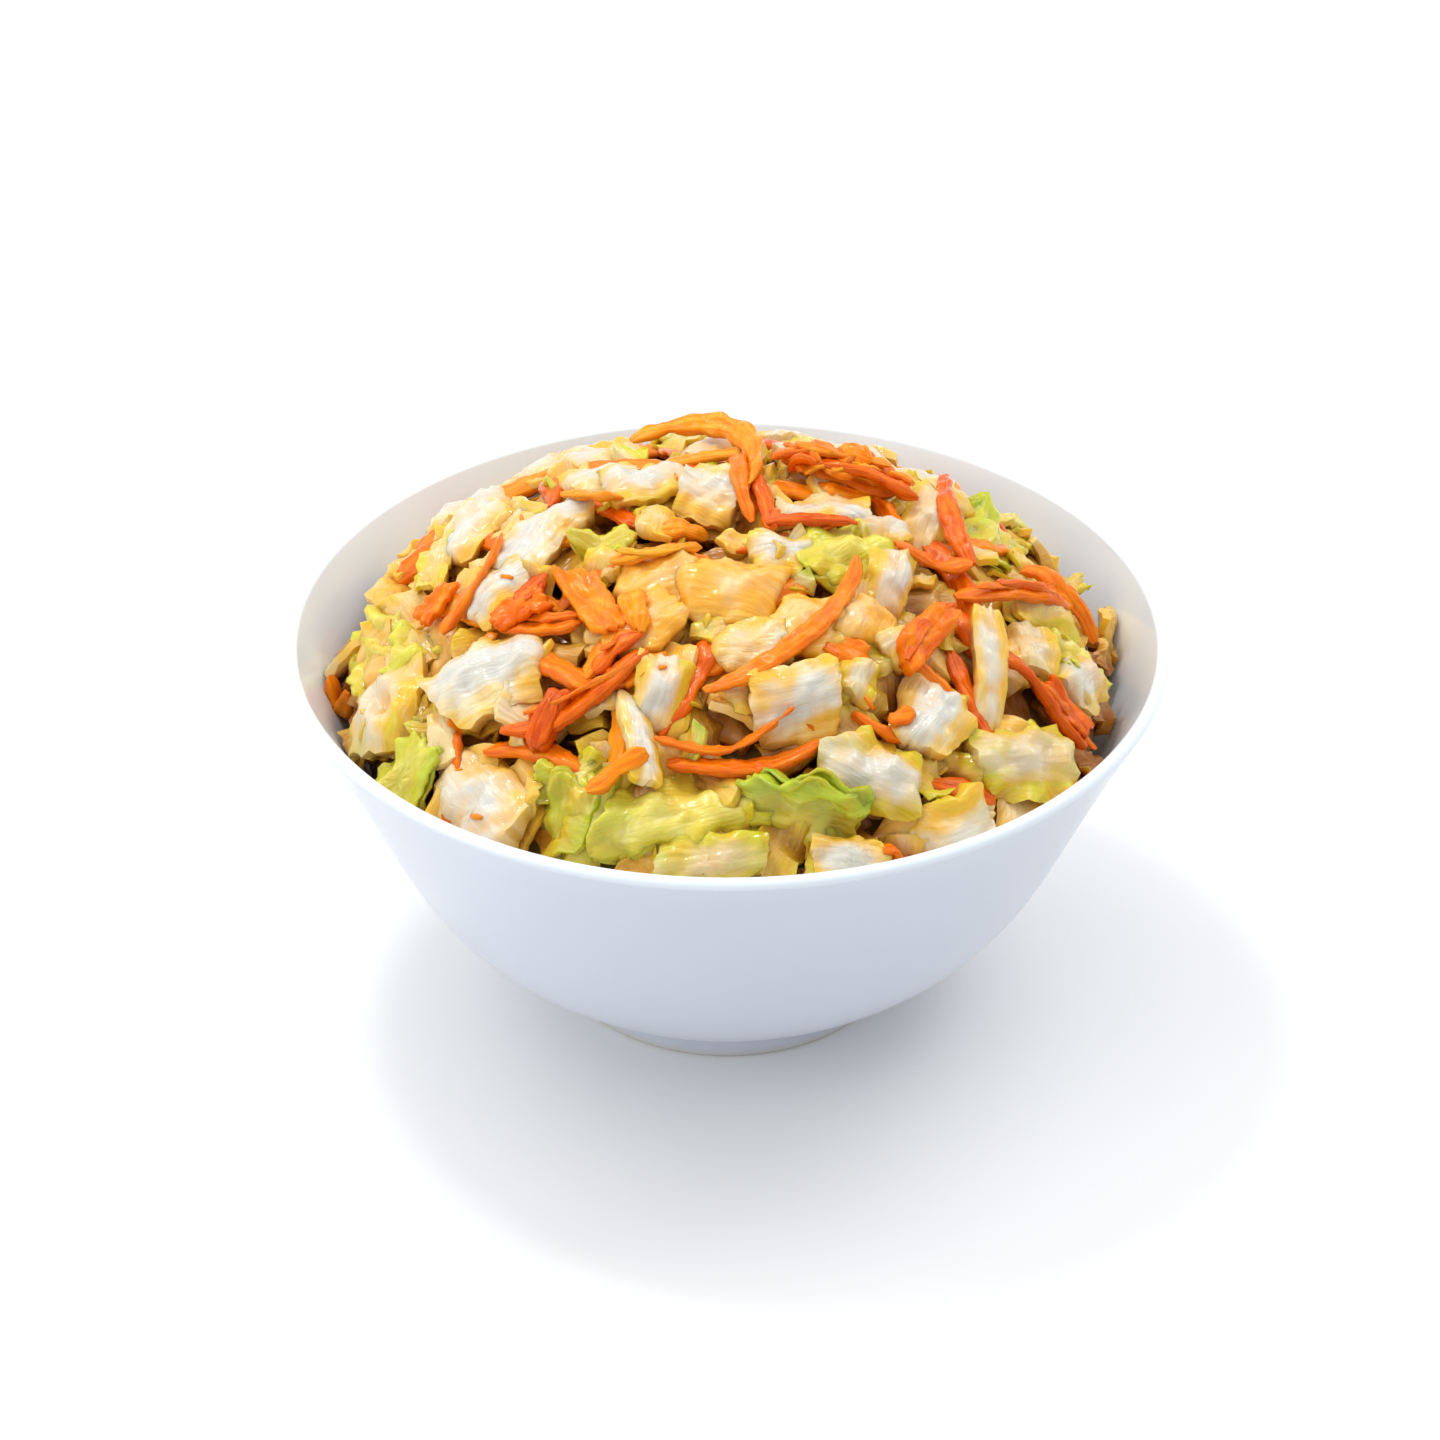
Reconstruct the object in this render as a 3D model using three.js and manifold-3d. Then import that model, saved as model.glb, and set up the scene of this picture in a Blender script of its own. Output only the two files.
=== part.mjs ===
// A heaped bowl of coleslaw: chopped cabbage and shredded carrot in a round white bowl.
// Millimetres, +Z up, with the origin at the centre of the foot's underside.
import * as THREE from "three";
import { mergeVertices } from "three/addons/utils/BufferGeometryUtils.js";
import Module from "manifold-3d";

const wasm = await Module();
wasm.setup();

// Driving sizes of the bowl
const RIM_RADIUS = 70;
const BOWL_HEIGHT = 64;
const WALL = 2.2;
const FLOOR = 3.2;
const FOOT_RADIUS = 27.5;
const FOOT_WIDTH = 3.2;
const FOOT_HEIGHT = 4;
const FOOT_HOLLOW = 1.6;
const SIDES = 48;
const CORE_SIDES = 32;

// The wall leaves the foot low and rises steeply to the rim: two headings and how long each one holds.
const FOOT_HEADING = THREE.MathUtils.degToRad(33.5);
const FOOT_HOLD = 35;
const RIM_HEADING = THREE.MathUtils.degToRad(62);
const RIM_HOLD = 41.5;
const WALL_STEPS = 7;

// Driving sizes of the heap
const HEAP_RADIUS = 65;
const HEAP_EDGE = 57;
const HEAP_RISE = 30.5;
const HEAP_FULLNESS = 2.6;
const HEAP_BACK_TILT = 0.12;
const HEAP_BACK_DIP = 3;
const DIP_FROM = 12;
const DIP_TO = 36;
const CORE_GAP = 0.5;
const CORE_SINK = 3;
const LUMP = 0.8;
const HEAP_CURVE = 70;

// Pieces keep this far inside the bowl's wall, and clear of the gap under the rim at the sides and back.
const WALL_GAP = 0.6;
const SIDE_REACH = 60.8;
const FRONT = 12;

// A piece that would cross the wall is moved inwards in small steps, as shares of its distance to the axis.
const INWARD_STEP = 0.02;
const INWARD_LIMIT = 0.6;

// Shreds have one thickness. Cabbage up to a small size has one ring of corners, the rest has two.
const SHRED_THICK = 2.6;
const SHRED_STEPS = 5;
const SCRAP_SECTORS = 8;
const SMALL_SCRAP = 12;
const EDGE_WAVE = 0.8;

const up = new THREE.Vector3(0, 0, 1);
const radians = THREE.MathUtils.degToRad;

// Seeded draws, so that every build makes the same heap
function seededDraws(seed) {
  let state = seed;
  return (low, high) => {
    state = (state * 48271) % 2147483647;
    return low + ((high - low) * state) / 2147483647;
  };
}

// Where the half-round lip begins on the outside, so that its top and side reach the bowl's full size
const LIP_START = BOWL_HEIGHT - (WALL / 2) * (1 + Math.cos(RIM_HEADING));
const LIP_RADIUS = RIM_RADIUS - (WALL / 2) * (1 - Math.sin(RIM_HEADING));

// Outer wall, from the foot to the rim, as points of radius and height
const wallCurve = new THREE.CubicBezierCurve(
  new THREE.Vector2(FOOT_RADIUS + 0.5, FOOT_HEIGHT),
  new THREE.Vector2(
    FOOT_RADIUS + 0.5 + FOOT_HOLD * Math.cos(FOOT_HEADING),
    FOOT_HEIGHT + FOOT_HOLD * Math.sin(FOOT_HEADING),
  ),
  new THREE.Vector2(
    LIP_RADIUS - RIM_HOLD * Math.cos(RIM_HEADING),
    LIP_START - RIM_HOLD * Math.sin(RIM_HEADING),
  ),
  new THREE.Vector2(LIP_RADIUS, LIP_START),
);

// A point of the wall curve, moved square to it towards the inside
function insideWall(t, distance) {
  const along = wallCurve.getTangent(t);
  const point = wallCurve.getPoint(t);
  return new THREE.Vector2(point.x - along.y * distance, point.y + along.x * distance);
}

// The inside's radius at a height, by bisection along the wall curve
function insideRadius(height) {
  let low = 0;
  let high = 1;
  for (let i = 0; i < 24; i++) {
    const middle = (low + high) / 2;
    if (insideWall(middle, WALL).y < height) low = middle;
    else high = middle;
  }
  return insideWall(low, WALL).x;
}

function bowlGeometry() {
  const steps = Array.from({ length: WALL_STEPS + 1 }, (_, i) => i / WALL_STEPS);
  const profile = [
    new THREE.Vector2(0, FOOT_HOLLOW),
    new THREE.Vector2(FOOT_RADIUS - FOOT_WIDTH - 1, FOOT_HOLLOW),
    new THREE.Vector2(FOOT_RADIUS - FOOT_WIDTH, 0),
    new THREE.Vector2(FOOT_RADIUS, 0),
    ...steps.map((t) => wallCurve.getPoint(t)),
  ];
  // The lip is a half round between the two faces of the wall.
  const outer = wallCurve.getPoint(1);
  const inner = insideWall(1, WALL);
  const middle = outer.clone().add(inner).multiplyScalar(0.5);
  const start = Math.atan2(outer.y - middle.y, outer.x - middle.x);
  for (const share of [0.25, 0.5, 0.75]) {
    const angle = start + Math.PI * share;
    profile.push(
      new THREE.Vector2(
        middle.x + (WALL / 2) * Math.cos(angle),
        middle.y + (WALL / 2) * Math.sin(angle),
      ),
    );
  }
  profile.push(...steps.toReversed().map((t) => insideWall(t, WALL + (FLOOR - WALL) * (1 - t))));
  profile.push(new THREE.Vector2(0, FOOT_HEIGHT + FLOOR - 0.5));
  return turned(profile, SIDES);
}

// A profile turned round the Z axis
function turned(profile, sides) {
  return new THREE.LatheGeometry(profile, sides).rotateX(Math.PI / 2);
}

// The heap's surface height over a point of the plan: highest a little behind the middle, then dipping
function heapHeight(x, y) {
  const reach = Math.min(Math.hypot(x, y) / HEAP_RADIUS, 1.1);
  const rise = HEAP_RISE * (1 - reach ** HEAP_FULLNESS);
  const dip = HEAP_BACK_DIP * THREE.MathUtils.smoothstep(y, DIP_FROM, DIP_TO);
  return HEAP_EDGE + rise * (1 + (HEAP_BACK_TILT * y) / HEAP_RADIUS) - dip * (1 - reach ** HEAP_FULLNESS);
}

// The heap's outward direction over a point of the plan
function heapNormal(x, y) {
  const step = 1.5;
  return new THREE.Vector3(
    heapHeight(x - step, y) - heapHeight(x + step, y),
    heapHeight(x, y - step) - heapHeight(x, y + step),
    2 * step,
  ).normalize();
}

// The packed salad under the pieces that show: it fills the bowl and ends just under the heap's surface.
function coreGeometry() {
  const wallSteps = [0.02, 0.25, 0.5, 0.72];
  const topShares = [0.9, 0.72, 0.48, 0.22, 0];
  const profile = [new THREE.Vector2(0, FOOT_HEIGHT + FLOOR)];
  for (const t of wallSteps) profile.push(insideWall(t, FLOOR + CORE_GAP));
  const edge = HEAP_EDGE - CORE_SINK;
  profile.push(new THREE.Vector2(insideRadius(edge) - CORE_GAP, edge));
  const topStart = profile.length;
  for (const share of topShares) {
    profile.push(new THREE.Vector2(share * HEAP_RADIUS, edge));
  }
  const geometry = turned(profile, CORE_SIDES);
  const position = geometry.getAttribute("position");
  for (let i = 0; i < position.count; i++) {
    if (i % profile.length < topStart) continue;
    const [x, y] = [position.getX(i), position.getY(i)];
    const lump = LUMP * Math.sin(x * 0.31 + 1) * Math.sin(y * 0.37);
    position.setZ(i, heapHeight(x, y) - CORE_SINK + lump);
  }
  return geometry;
}

// A scrap of cabbage lying in its own XY plane: a thin solid that bows over its rib and waves at its torn
// edge. Both faces are split into the same triangles.
function scrapGeometry({ length, width, thick, bow, phase, rings }) {
  const sectors = SCRAP_SECTORS;
  const at = (ring, sector) => (ring === 0 ? 0 : 1 + (ring - 1) * sectors + (sector % sectors));
  const face = (side) => {
    const points = [[0, 0, (side * thick) / 2]];
    for (let ring = 1; ring <= rings; ring++) {
      const share = ring / rings;
      for (let sector = 0; sector < sectors; sector++) {
        const angle = (sector / sectors) * 2 * Math.PI;
        const square = (Math.cos(angle) ** 4 + Math.sin(angle) ** 4) ** -0.25;
        const torn = 1 + 0.1 * Math.sin(3 * angle + phase) + 0.08 * Math.sin(7 * angle + 2 * phase);
        const across = share * square * torn * Math.cos(angle);
        const along = share * square * torn * Math.sin(angle);
        const bowed = bow * (across ** 2 + 0.4 * along ** 2);
        const height = EDGE_WAVE * share ** 2 * Math.sin(3 * angle + phase) - bowed;
        const edge = thick * (1 - 0.4 * share);
        points.push([(along * length) / 2, (across * width) / 2, height + (side * edge) / 2]);
      }
    }
    return points;
  };
  const top = face(1);
  const count = top.length;
  const triangles = [];
  const onBoth = (a, b, c) => triangles.push([a, b, c], [count + a, count + c, count + b]);
  for (let sector = 0; sector < sectors; sector++) {
    onBoth(0, at(1, sector), at(1, sector + 1));
    for (let ring = 1; ring < rings; ring++) {
      onBoth(at(ring, sector), at(ring + 1, sector), at(ring + 1, sector + 1));
      onBoth(at(ring, sector), at(ring + 1, sector + 1), at(ring, sector + 1));
    }
    const [a, b] = [at(rings, sector), at(rings, sector + 1)];
    triangles.push([a, count + a, count + b], [a, count + b, b]);
  }
  return indexed([...top, ...face(-1)], triangles);
}

// A carrot shred along X that bends in its own XY plane and arches over the heap: a four-sided strip
function shredGeometry({ chord, width, bend }) {
  const steps = SHRED_STEPS;
  const corners = [
    [0.5, 0.5],
    [-0.5, 0.5],
    [-0.5, -0.5],
    [0.5, -0.5],
  ];
  const half = radians(bend) / 2 || 1e-3;
  const radius = chord / 2 / Math.sin(half);
  const arch = chord ** 2 / (8 * HEAP_CURVE);
  const points = [];
  for (let i = 0; i <= steps; i++) {
    const share = (2 * i) / steps - 1;
    const heading = half * share;
    const taper = 1 - 0.4 * share ** 4;
    for (const [across, through] of corners) {
      const reach = radius + across * width * taper;
      points.push([
        reach * Math.sin(heading),
        reach * Math.cos(heading) - radius * Math.cos(half),
        arch * (1 - share * share) + through * SHRED_THICK * taper,
      ]);
    }
  }
  const triangles = [];
  for (let i = 0; i < steps; i++) {
    for (let corner = 0; corner < 4; corner++) {
      const a = 4 * i + corner;
      const b = 4 * i + ((corner + 1) % 4);
      triangles.push([a, b, b + 4], [a, b + 4, a + 4]);
    }
  }
  const last = 4 * steps;
  triangles.push([0, 2, 1], [0, 3, 2], [last, last + 1, last + 2], [last, last + 2, last + 3]);
  return indexed(points, triangles);
}

function indexed(points, triangles) {
  const geometry = new THREE.BufferGeometry();
  geometry.setAttribute("position", new THREE.Float32BufferAttribute(points.flat(), 3));
  geometry.setIndex(triangles.flat());
  return geometry;
}

// A geometry laid on the heap: turned about the heap's outward direction, then its far end tipped up and its
// left side leaned up, all in degrees
function laid(geometry, { x, y, turn = 0, tip = 0, lean = 0, lift = 0 }) {
  const spot = new THREE.Object3D();
  const normal = heapNormal(x, y);
  const aboutNormal = new THREE.Quaternion().setFromAxisAngle(up, radians(turn));
  const tilted = new THREE.Quaternion().setFromEuler(new THREE.Euler(radians(lean), radians(-tip), 0));
  spot.position.set(x, y, heapHeight(x, y)).addScaledVector(normal, lift);
  spot.quaternion.setFromUnitVectors(up, normal).multiply(aboutNormal).multiply(tilted);
  spot.updateMatrix();
  return geometry.applyMatrix4(spot.matrix);
}

// Whether every corner is inside the bowl's wall, and out of the gap under the rim at the sides and back
function fits(geometry) {
  const position = geometry.getAttribute("position");
  for (let i = 0; i < position.count; i++) {
    const [x, y, z] = [position.getX(i), position.getY(i), position.getZ(i)];
    const radius = Math.hypot(x, y);
    if (radius > insideRadius(Math.min(z, BOWL_HEIGHT - WALL)) - WALL_GAP) return false;
    if (y > -FRONT && radius > SIDE_REACH && z > HEAP_EDGE) return false;
  }
  return true;
}

// A piece that would cross the wall is moved in towards the middle of the heap until it is clear.
function laidClear(makeGeometry, place) {
  for (let inward = 1; inward > INWARD_LIMIT; inward -= INWARD_STEP) {
    const geometry = laid(makeGeometry(), { ...place, x: place.x * inward, y: place.y * inward });
    if (fits(geometry)) return [geometry];
  }
  return [];
}

// The cabbage that shows, thick ribs and thin leaf alike: its place on the heap, size, turn, tip and lean
const cabbage = [
  // The front, from left to right
  { x: -52, y: -21, length: 18, width: 18, thick: 4, turn: 60, lean: -12, bow: 2.5 },
  { x: -50, y: -36, length: 11, width: 9, thick: 2.5, turn: 30, bow: 1.5 },
  { x: -37, y: -28, length: 19, width: 15, thick: 6, turn: 10, bow: 1.5, lift: 1.5 },
  { x: -36, y: -46, length: 20, width: 17, thick: 5, turn: -55, tip: 8, bow: 4, lift: 1 },
  { x: -21, y: -53, length: 13, width: 10, thick: 2, turn: 75, lean: 25, bow: 2 },
  { x: -13, y: -48, length: 17, width: 5, thick: 3, turn: 100, tip: -12, lean: 35, bow: 0.5, lift: 2 },
  { x: -7, y: -54, length: 23, width: 16, thick: 2.5, turn: 15, lean: 14, bow: 3, lift: 1 },
  { x: 9, y: -53, length: 18, width: 14, thick: 2, turn: -15, lean: 24, bow: 2.5, lift: 2.5 },
  { x: -10, y: -39, length: 15, width: 10, thick: 4, turn: 80, lean: 25, bow: 1.5, lift: 1 },
  { x: 10.5, y: -39, length: 16, width: 14, thick: 8, turn: 15, tip: 6, lean: 8, bow: 1, lift: 1.5 },
  { x: 19.5, y: -35, length: 9, width: 7, thick: 4, turn: 70, bow: 1 },
  { x: 21, y: -48, length: 17, width: 15, thick: 6, turn: -20, lean: 10, bow: 2.5, lift: 1.5 },
  { x: 18, y: -58, length: 13, width: 8, thick: 4, turn: 10, bow: 1 },
  { x: 30.5, y: -37, length: 15, width: 12, thick: 6, turn: 60, lean: -8, bow: 1.5, lift: 1 },
  { x: 35, y: -50, length: 15, width: 13, thick: 7, turn: 35, lean: 14, bow: 1 },
  { x: 46, y: -36, length: 19, width: 14, thick: 4, turn: 25, bow: 2.5, lift: 1 },
  // The middle
  { x: -54, y: -6, length: 16, width: 13, thick: 2, turn: 70, lean: 20, bow: 2 },
  { x: -36, y: -15, length: 13, width: 11, thick: 5, turn: 20, bow: 1.5, lift: 1 },
  { x: -4, y: -21, length: 23, width: 18, thick: 7, turn: 5, bow: 2, lift: 0.5 },
  { x: 14, y: -28, length: 15, width: 14, thick: 7, turn: 40, bow: 1.5, lift: 0.5 },
  { x: 26, y: -28, length: 7, width: 6, thick: 6, turn: 30, bow: 0.3, lift: 1 },
  { x: 25, y: -16, length: 15, width: 10, thick: 5, turn: 80, lean: 12, bow: 1.5, lift: 0.5 },
  { x: 40.5, y: -24, length: 20, width: 4.5, thick: 4, turn: -80, tip: -8, lean: 20, bow: 0.2, lift: 2.5 },
  { x: 55, y: -15, length: 13, width: 10, thick: 4, turn: 60, bow: 1.5 },
  { x: 50, y: -5, length: 14, width: 12, thick: 3, turn: 20, bow: 2 },
  // The top and what shows over it
  { x: -41, y: 9, length: 16, width: 12, thick: 4, turn: 60, lean: 15, bow: 1.5 },
  { x: -29, y: -2, length: 20, width: 14, thick: 5, turn: 50, lean: 8, bow: 2, lift: 0.5 },
  { x: -19, y: -7, length: 9, width: 8, thick: 2, turn: 0, bow: 1, lift: 1 },
  { x: -13, y: 8, length: 15, width: 13, thick: 5, turn: 20, bow: 1.5, lift: 0.5 },
  { x: -2, y: 4, length: 15, width: 12, thick: 5, turn: -30, lean: 10, bow: 1.5, lift: 0.5 },
  { x: 15, y: -1, length: 15, width: 12, thick: 3, turn: 0, tip: 5, bow: 1, lift: 1 },
  { x: 18, y: -11, length: 15, width: 12, thick: 2, turn: 30, bow: 1.5, lift: 1 },
  { x: 31, y: 4, length: 17, width: 10, thick: 4, turn: 80, lean: 14, bow: 1.5, lift: 0.5 },
  { x: 43, y: 9, length: 17, width: 10, thick: 2, turn: 75, lean: 22, bow: 2, lift: 1 },
];

// The carrot that shows: from one end to the other over the heap, how wide, and how far it bends on the way
const carrot = [
  { from: [-16, 22], to: [3, 20], width: 4.2, bend: -70, lift: 2.6 },
  { from: [3, 21], to: [2, 0], width: 4, bend: -50, lift: 1.8 },
  { from: [9, 15], to: [27, 9], width: 4, bend: -35, lift: 1.4 },
  { from: [13, 10], to: [30, 4], width: 3.6, bend: 30, lift: 1.2 },
  { from: [4, 7], to: [7, -9], width: 3, bend: 20, lift: 1.4 },
  { from: [6, -8], to: [20, -6], width: 3, bend: 20, lift: 1.2 },
  { from: [35, 18], to: [38, -7], width: 3.2, bend: -35, lift: 1.5 },
  { from: [26, -9], to: [38, -8], width: 3, bend: 20, lift: 1.1 },
  { from: [-3.5, -41], to: [20, -13.5], width: 3.4, bend: -55, lift: 2.1 },
  { from: [-35, -21], to: [-22, -23], width: 3.4, bend: -12, lift: 1.6 },
  { from: [-25, -13], to: [-16, -31], width: 8, bend: -25, lift: 1.2 },
  { from: [-44, -17], to: [-35, -3], width: 3.4, bend: -50, lift: 1.3 },
  { from: [-32, -20], to: [-28, -13], width: 3.2, bend: 0, lift: 1.6 },
  { from: [-34, -40], to: [-12, -34], width: 4.5, bend: -40, lift: 1.4 },
  { from: [-29, -44], to: [-25, -36], width: 3.4, bend: 10, lift: 0.9 },
  { from: [-21, -53], to: [-12, -50], width: 3.4, bend: 0, lift: 2 },
  { from: [-9, -49], to: [14, -47], width: 4, bend: -40, lift: 1.7 },
  { from: [25, -34], to: [34, -17], width: 6, bend: 10, lift: 1.4 },
  { from: [35, -14], to: [56, 0], width: 3.6, bend: -20, lift: 1.4 },
  { from: [46, 1], to: [58, -4], width: 3.4, bend: 10, lift: 1.2 },
  { from: [40, -24], to: [55, -27], width: 4, bend: 25, lift: 1.1 },
  { from: [-63, -4], to: [-60, -8], width: 4, bend: 0, lift: 0.9 },
  { from: [23, -58], to: [28, -56], width: 3, bend: 0, lift: 0.9 },
  { from: [-18, -15], to: [-4, -13], width: 3.6, bend: -30, lift: 1.8 },
];

// What no single view shows is covered by more of the same, drawn by a rule: cabbage and carrot spread evenly
// by the golden angle, skipped where a piece named above already lies.
const FILLER_COUNT = 98;
const FILLER_REACH = 60;
const FILLER_APART = 8;
const FILLER_CARROT_SHARE = 0.27;
const FILLER_SHRED_WIDTH = 3.4;
const GOLDEN_ANGLE = Math.PI * (3 - Math.sqrt(5));

function fillers() {
  const draw = seededDraws(20817);
  const taken = cabbage.map(({ x, y }) => [x, y]);
  const made = [];
  for (let i = 0; i < FILLER_COUNT; i++) {
    const radius = FILLER_REACH * Math.sqrt((i + 0.5) / FILLER_COUNT);
    const angle = i * GOLDEN_ANGLE;
    const [x, y] = [radius * Math.cos(angle), radius * Math.sin(angle)];
    const size = Math.min(draw(10, 17), 2 * (HEAP_RADIUS - radius) + 3);
    const turn = draw(0, 360);
    const isCarrot = draw(0, 1) < FILLER_CARROT_SHARE;
    const place = { x, y, turn, tip: draw(-12, 12), lean: draw(-18, 18), lift: draw(-0.5, 1.2) };
    const [bend, thick, phase] = [draw(-60, 60), draw(2.2, 5), draw(0, 6)];
    if (taken.some(([a, b]) => Math.hypot(a - x, b - y) < FILLER_APART)) continue;
    const shred = { chord: size * 1.5, width: FILLER_SHRED_WIDTH, bend };
    const scrap = { length: size, width: 0.8 * size, thick, bow: 0.12 * size, phase, rings: 1 };
    const make = isCarrot ? () => shredGeometry(shred) : () => scrapGeometry(scrap);
    made.push(...laidClear(make, place));
  }
  return made;
}

function shownCabbage() {
  return cabbage.flatMap((piece, i) => {
    const rings = piece.length > SMALL_SCRAP ? 2 : 1;
    return laidClear(() => scrapGeometry({ phase: i * 1.7, rings, ...piece }), piece);
  });
}

function shownCarrot() {
  return carrot.flatMap(({ from, to, width, bend, lift }) => {
    const [dx, dy] = [to[0] - from[0], to[1] - from[1]];
    const place = {
      x: (from[0] + to[0]) / 2,
      y: (from[1] + to[1]) / 2,
      turn: THREE.MathUtils.radToDeg(Math.atan2(dy, dx)),
      lift,
    };
    return laidClear(() => shredGeometry({ chord: Math.hypot(dx, dy), width, bend }), place);
  });
}

// A three.js geometry as a solid, turned right side out if its faces point inwards
function solid(geometry) {
  const bare = geometry.clone();
  bare.deleteAttribute("normal");
  bare.deleteAttribute("uv");
  const merged = mergeVertices(bare, 1e-4);
  const triVerts = new Uint32Array(merged.index.array);
  const vertProperties = merged.getAttribute("position").array;
  const made = new wasm.Manifold(new wasm.Mesh({ numProp: 3, vertProperties, triVerts }));
  if (made.volume() > 0) return made;
  for (let i = 0; i < triVerts.length; i += 3) {
    [triVerts[i + 1], triVerts[i + 2]] = [triVerts[i + 2], triVerts[i + 1]];
  }
  return new wasm.Manifold(new wasm.Mesh({ numProp: 3, vertProperties, triVerts }));
}

// The salad as one body: the pieces fused onto the core, without loose scraps or sealed hollows
function slawGeometry() {
  const pieces = [...shownCabbage(), ...shownCarrot(), ...fillers()];
  const fused = pieces.reduce((whole, piece) => whole.add(solid(piece)), solid(coreGeometry()));
  const bodies = fused.decompose().sort((a, b) => b.volume() - a.volume());
  return geometryOf(bodies[0]);
}

// A solid as an indexed geometry
function geometryOf(made) {
  const { vertProperties, triVerts } = made.getMesh();
  const geometry = new THREE.BufferGeometry();
  geometry.setAttribute("position", new THREE.BufferAttribute(vertProperties, 3));
  geometry.setIndex(new THREE.BufferAttribute(triVerts, 1));
  geometry.computeVertexNormals();
  return geometry;
}

function named(name, geometry, color, roughness) {
  const mesh = new THREE.Mesh(geometry, new THREE.MeshStandardMaterial({ color, roughness, metalness: 0 }));
  mesh.name = name;
  return mesh;
}

const coleslaw = new THREE.Group();
coleslaw.add(named("bowl", geometryOf(solid(bowlGeometry())), 0xe4e5ee, 0.25));
coleslaw.add(named("slaw", slawGeometry(), 0xe9dfa6, 0.45));

export default coleslaw;
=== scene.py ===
# Coleslaw of chopped cabbage, green leaf and shredded carrot, heaped in a round white bowl with a foot ring.
# Metres, +Z up; the salad is worked out in millimetres and brought to metres as each mesh is made.
import math

import bpy
import numpy as np
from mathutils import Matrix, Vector


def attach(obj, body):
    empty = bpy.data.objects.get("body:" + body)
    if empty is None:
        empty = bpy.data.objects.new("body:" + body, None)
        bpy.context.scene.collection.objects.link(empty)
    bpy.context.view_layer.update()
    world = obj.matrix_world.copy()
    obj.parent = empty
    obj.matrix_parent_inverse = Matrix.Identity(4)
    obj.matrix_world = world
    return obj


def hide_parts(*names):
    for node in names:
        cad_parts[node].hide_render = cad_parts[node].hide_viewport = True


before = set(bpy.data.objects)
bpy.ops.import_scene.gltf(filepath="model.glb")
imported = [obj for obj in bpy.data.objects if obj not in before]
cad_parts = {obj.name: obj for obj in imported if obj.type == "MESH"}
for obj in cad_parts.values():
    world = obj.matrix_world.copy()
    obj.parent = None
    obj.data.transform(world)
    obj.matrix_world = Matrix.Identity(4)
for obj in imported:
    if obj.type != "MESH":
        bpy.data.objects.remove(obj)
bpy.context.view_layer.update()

MM = 0.001


# The studio: a camera where the photograph was taken from, a pale floor that runs out of sight, and soft
# light from large windows behind, overhead, at the left and behind to the right, with one small lamp for
# crisp glints.
CAMERA_HEIGHT_ANGLE = math.radians(32.83)
CAMERA_DISTANCE = 0.7
CAMERA_TARGET = Vector((-0.00112, 0, 0.04693))
PHOTO_WIDTH = 1440
FOCAL_PIXELS = 4357.6
SENSOR = 36
WARM_DAY = (1.0, 0.99, 0.97)
COOL_DAY = (0.97, 0.985, 1.0)
ROOM_LIGHT = 0.72
FLOOR_SIZE = 6.0

scene = bpy.context.scene
scene.view_settings.view_transform = "Standard"
camera_data = bpy.data.cameras.new("camera")
camera_data.sensor_width = SENSOR
camera_data.lens = FOCAL_PIXELS * SENSOR / PHOTO_WIDTH
camera = bpy.data.objects.new("camera", camera_data)
towards_camera = Vector((0, -math.cos(CAMERA_HEIGHT_ANGLE), math.sin(CAMERA_HEIGHT_ANGLE)))
camera.location = CAMERA_TARGET + CAMERA_DISTANCE * towards_camera
camera.rotation_euler = towards_camera.to_track_quat("Z", "Y").to_euler()
scene.collection.objects.link(camera)
scene.camera = camera


def window(name, place, size, power, colour):
    """A soft square light that faces the bowl."""
    data = bpy.data.lights.new(name, "AREA")
    data.size = size
    data.energy = power
    data.color = colour
    light = bpy.data.objects.new(name, data)
    light.location = place
    light.rotation_euler = (Vector(place) - CAMERA_TARGET).to_track_quat("Z", "Y").to_euler()
    scene.collection.objects.link(light)


window("window_behind", (-0.5, 0.35, 0.72), 0.6, 1.95, WARM_DAY)
window("window_above", (0.05, -0.1, 1.0), 0.9, 1.25, COOL_DAY)
window("window_left", (-0.85, -0.35, 0.35), 0.6, 2.1, WARM_DAY)
window("window_right", (0.5, 0.28, 0.85), 0.5, 2.7, COOL_DAY)
window("lamp", (-0.22, 0.22, 0.85), 0.12, 1.8, COOL_DAY)

world = bpy.data.worlds.new("room")
scene.world = world
world.use_nodes = True
world.node_tree.nodes["Background"].inputs["Color"].default_value = (1.0, 1.0, 1.0, 1)
world.node_tree.nodes["Background"].inputs["Strength"].default_value = ROOM_LIGHT


def material(name, looks):
    """A new material, its node tree and its Principled shader, with plain values on the shader's inputs."""
    made = bpy.data.materials.new(name)
    made.use_nodes = True
    shader = made.node_tree.nodes["Principled BSDF"]
    for label, value in looks.items():
        shader.inputs[label].default_value = value
    return made, made.node_tree, shader


floor_mesh = bpy.data.meshes.new("floor")
half = FLOOR_SIZE / 2
floor_corners = [(-half, -half, 0), (half, -half, 0), (half, half, 0), (-half, half, 0)]
floor_mesh.from_pydata(floor_corners, [], [(0, 1, 2, 3)])
floor = bpy.data.objects.new("floor", floor_mesh)
scene.collection.objects.link(floor)
floor_paint, _, _ = material("floor_paint", {"Base Color": (0.93, 0.93, 0.93, 1), "Roughness": 0.9})
floor_mesh.materials.append(floor_paint)


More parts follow.
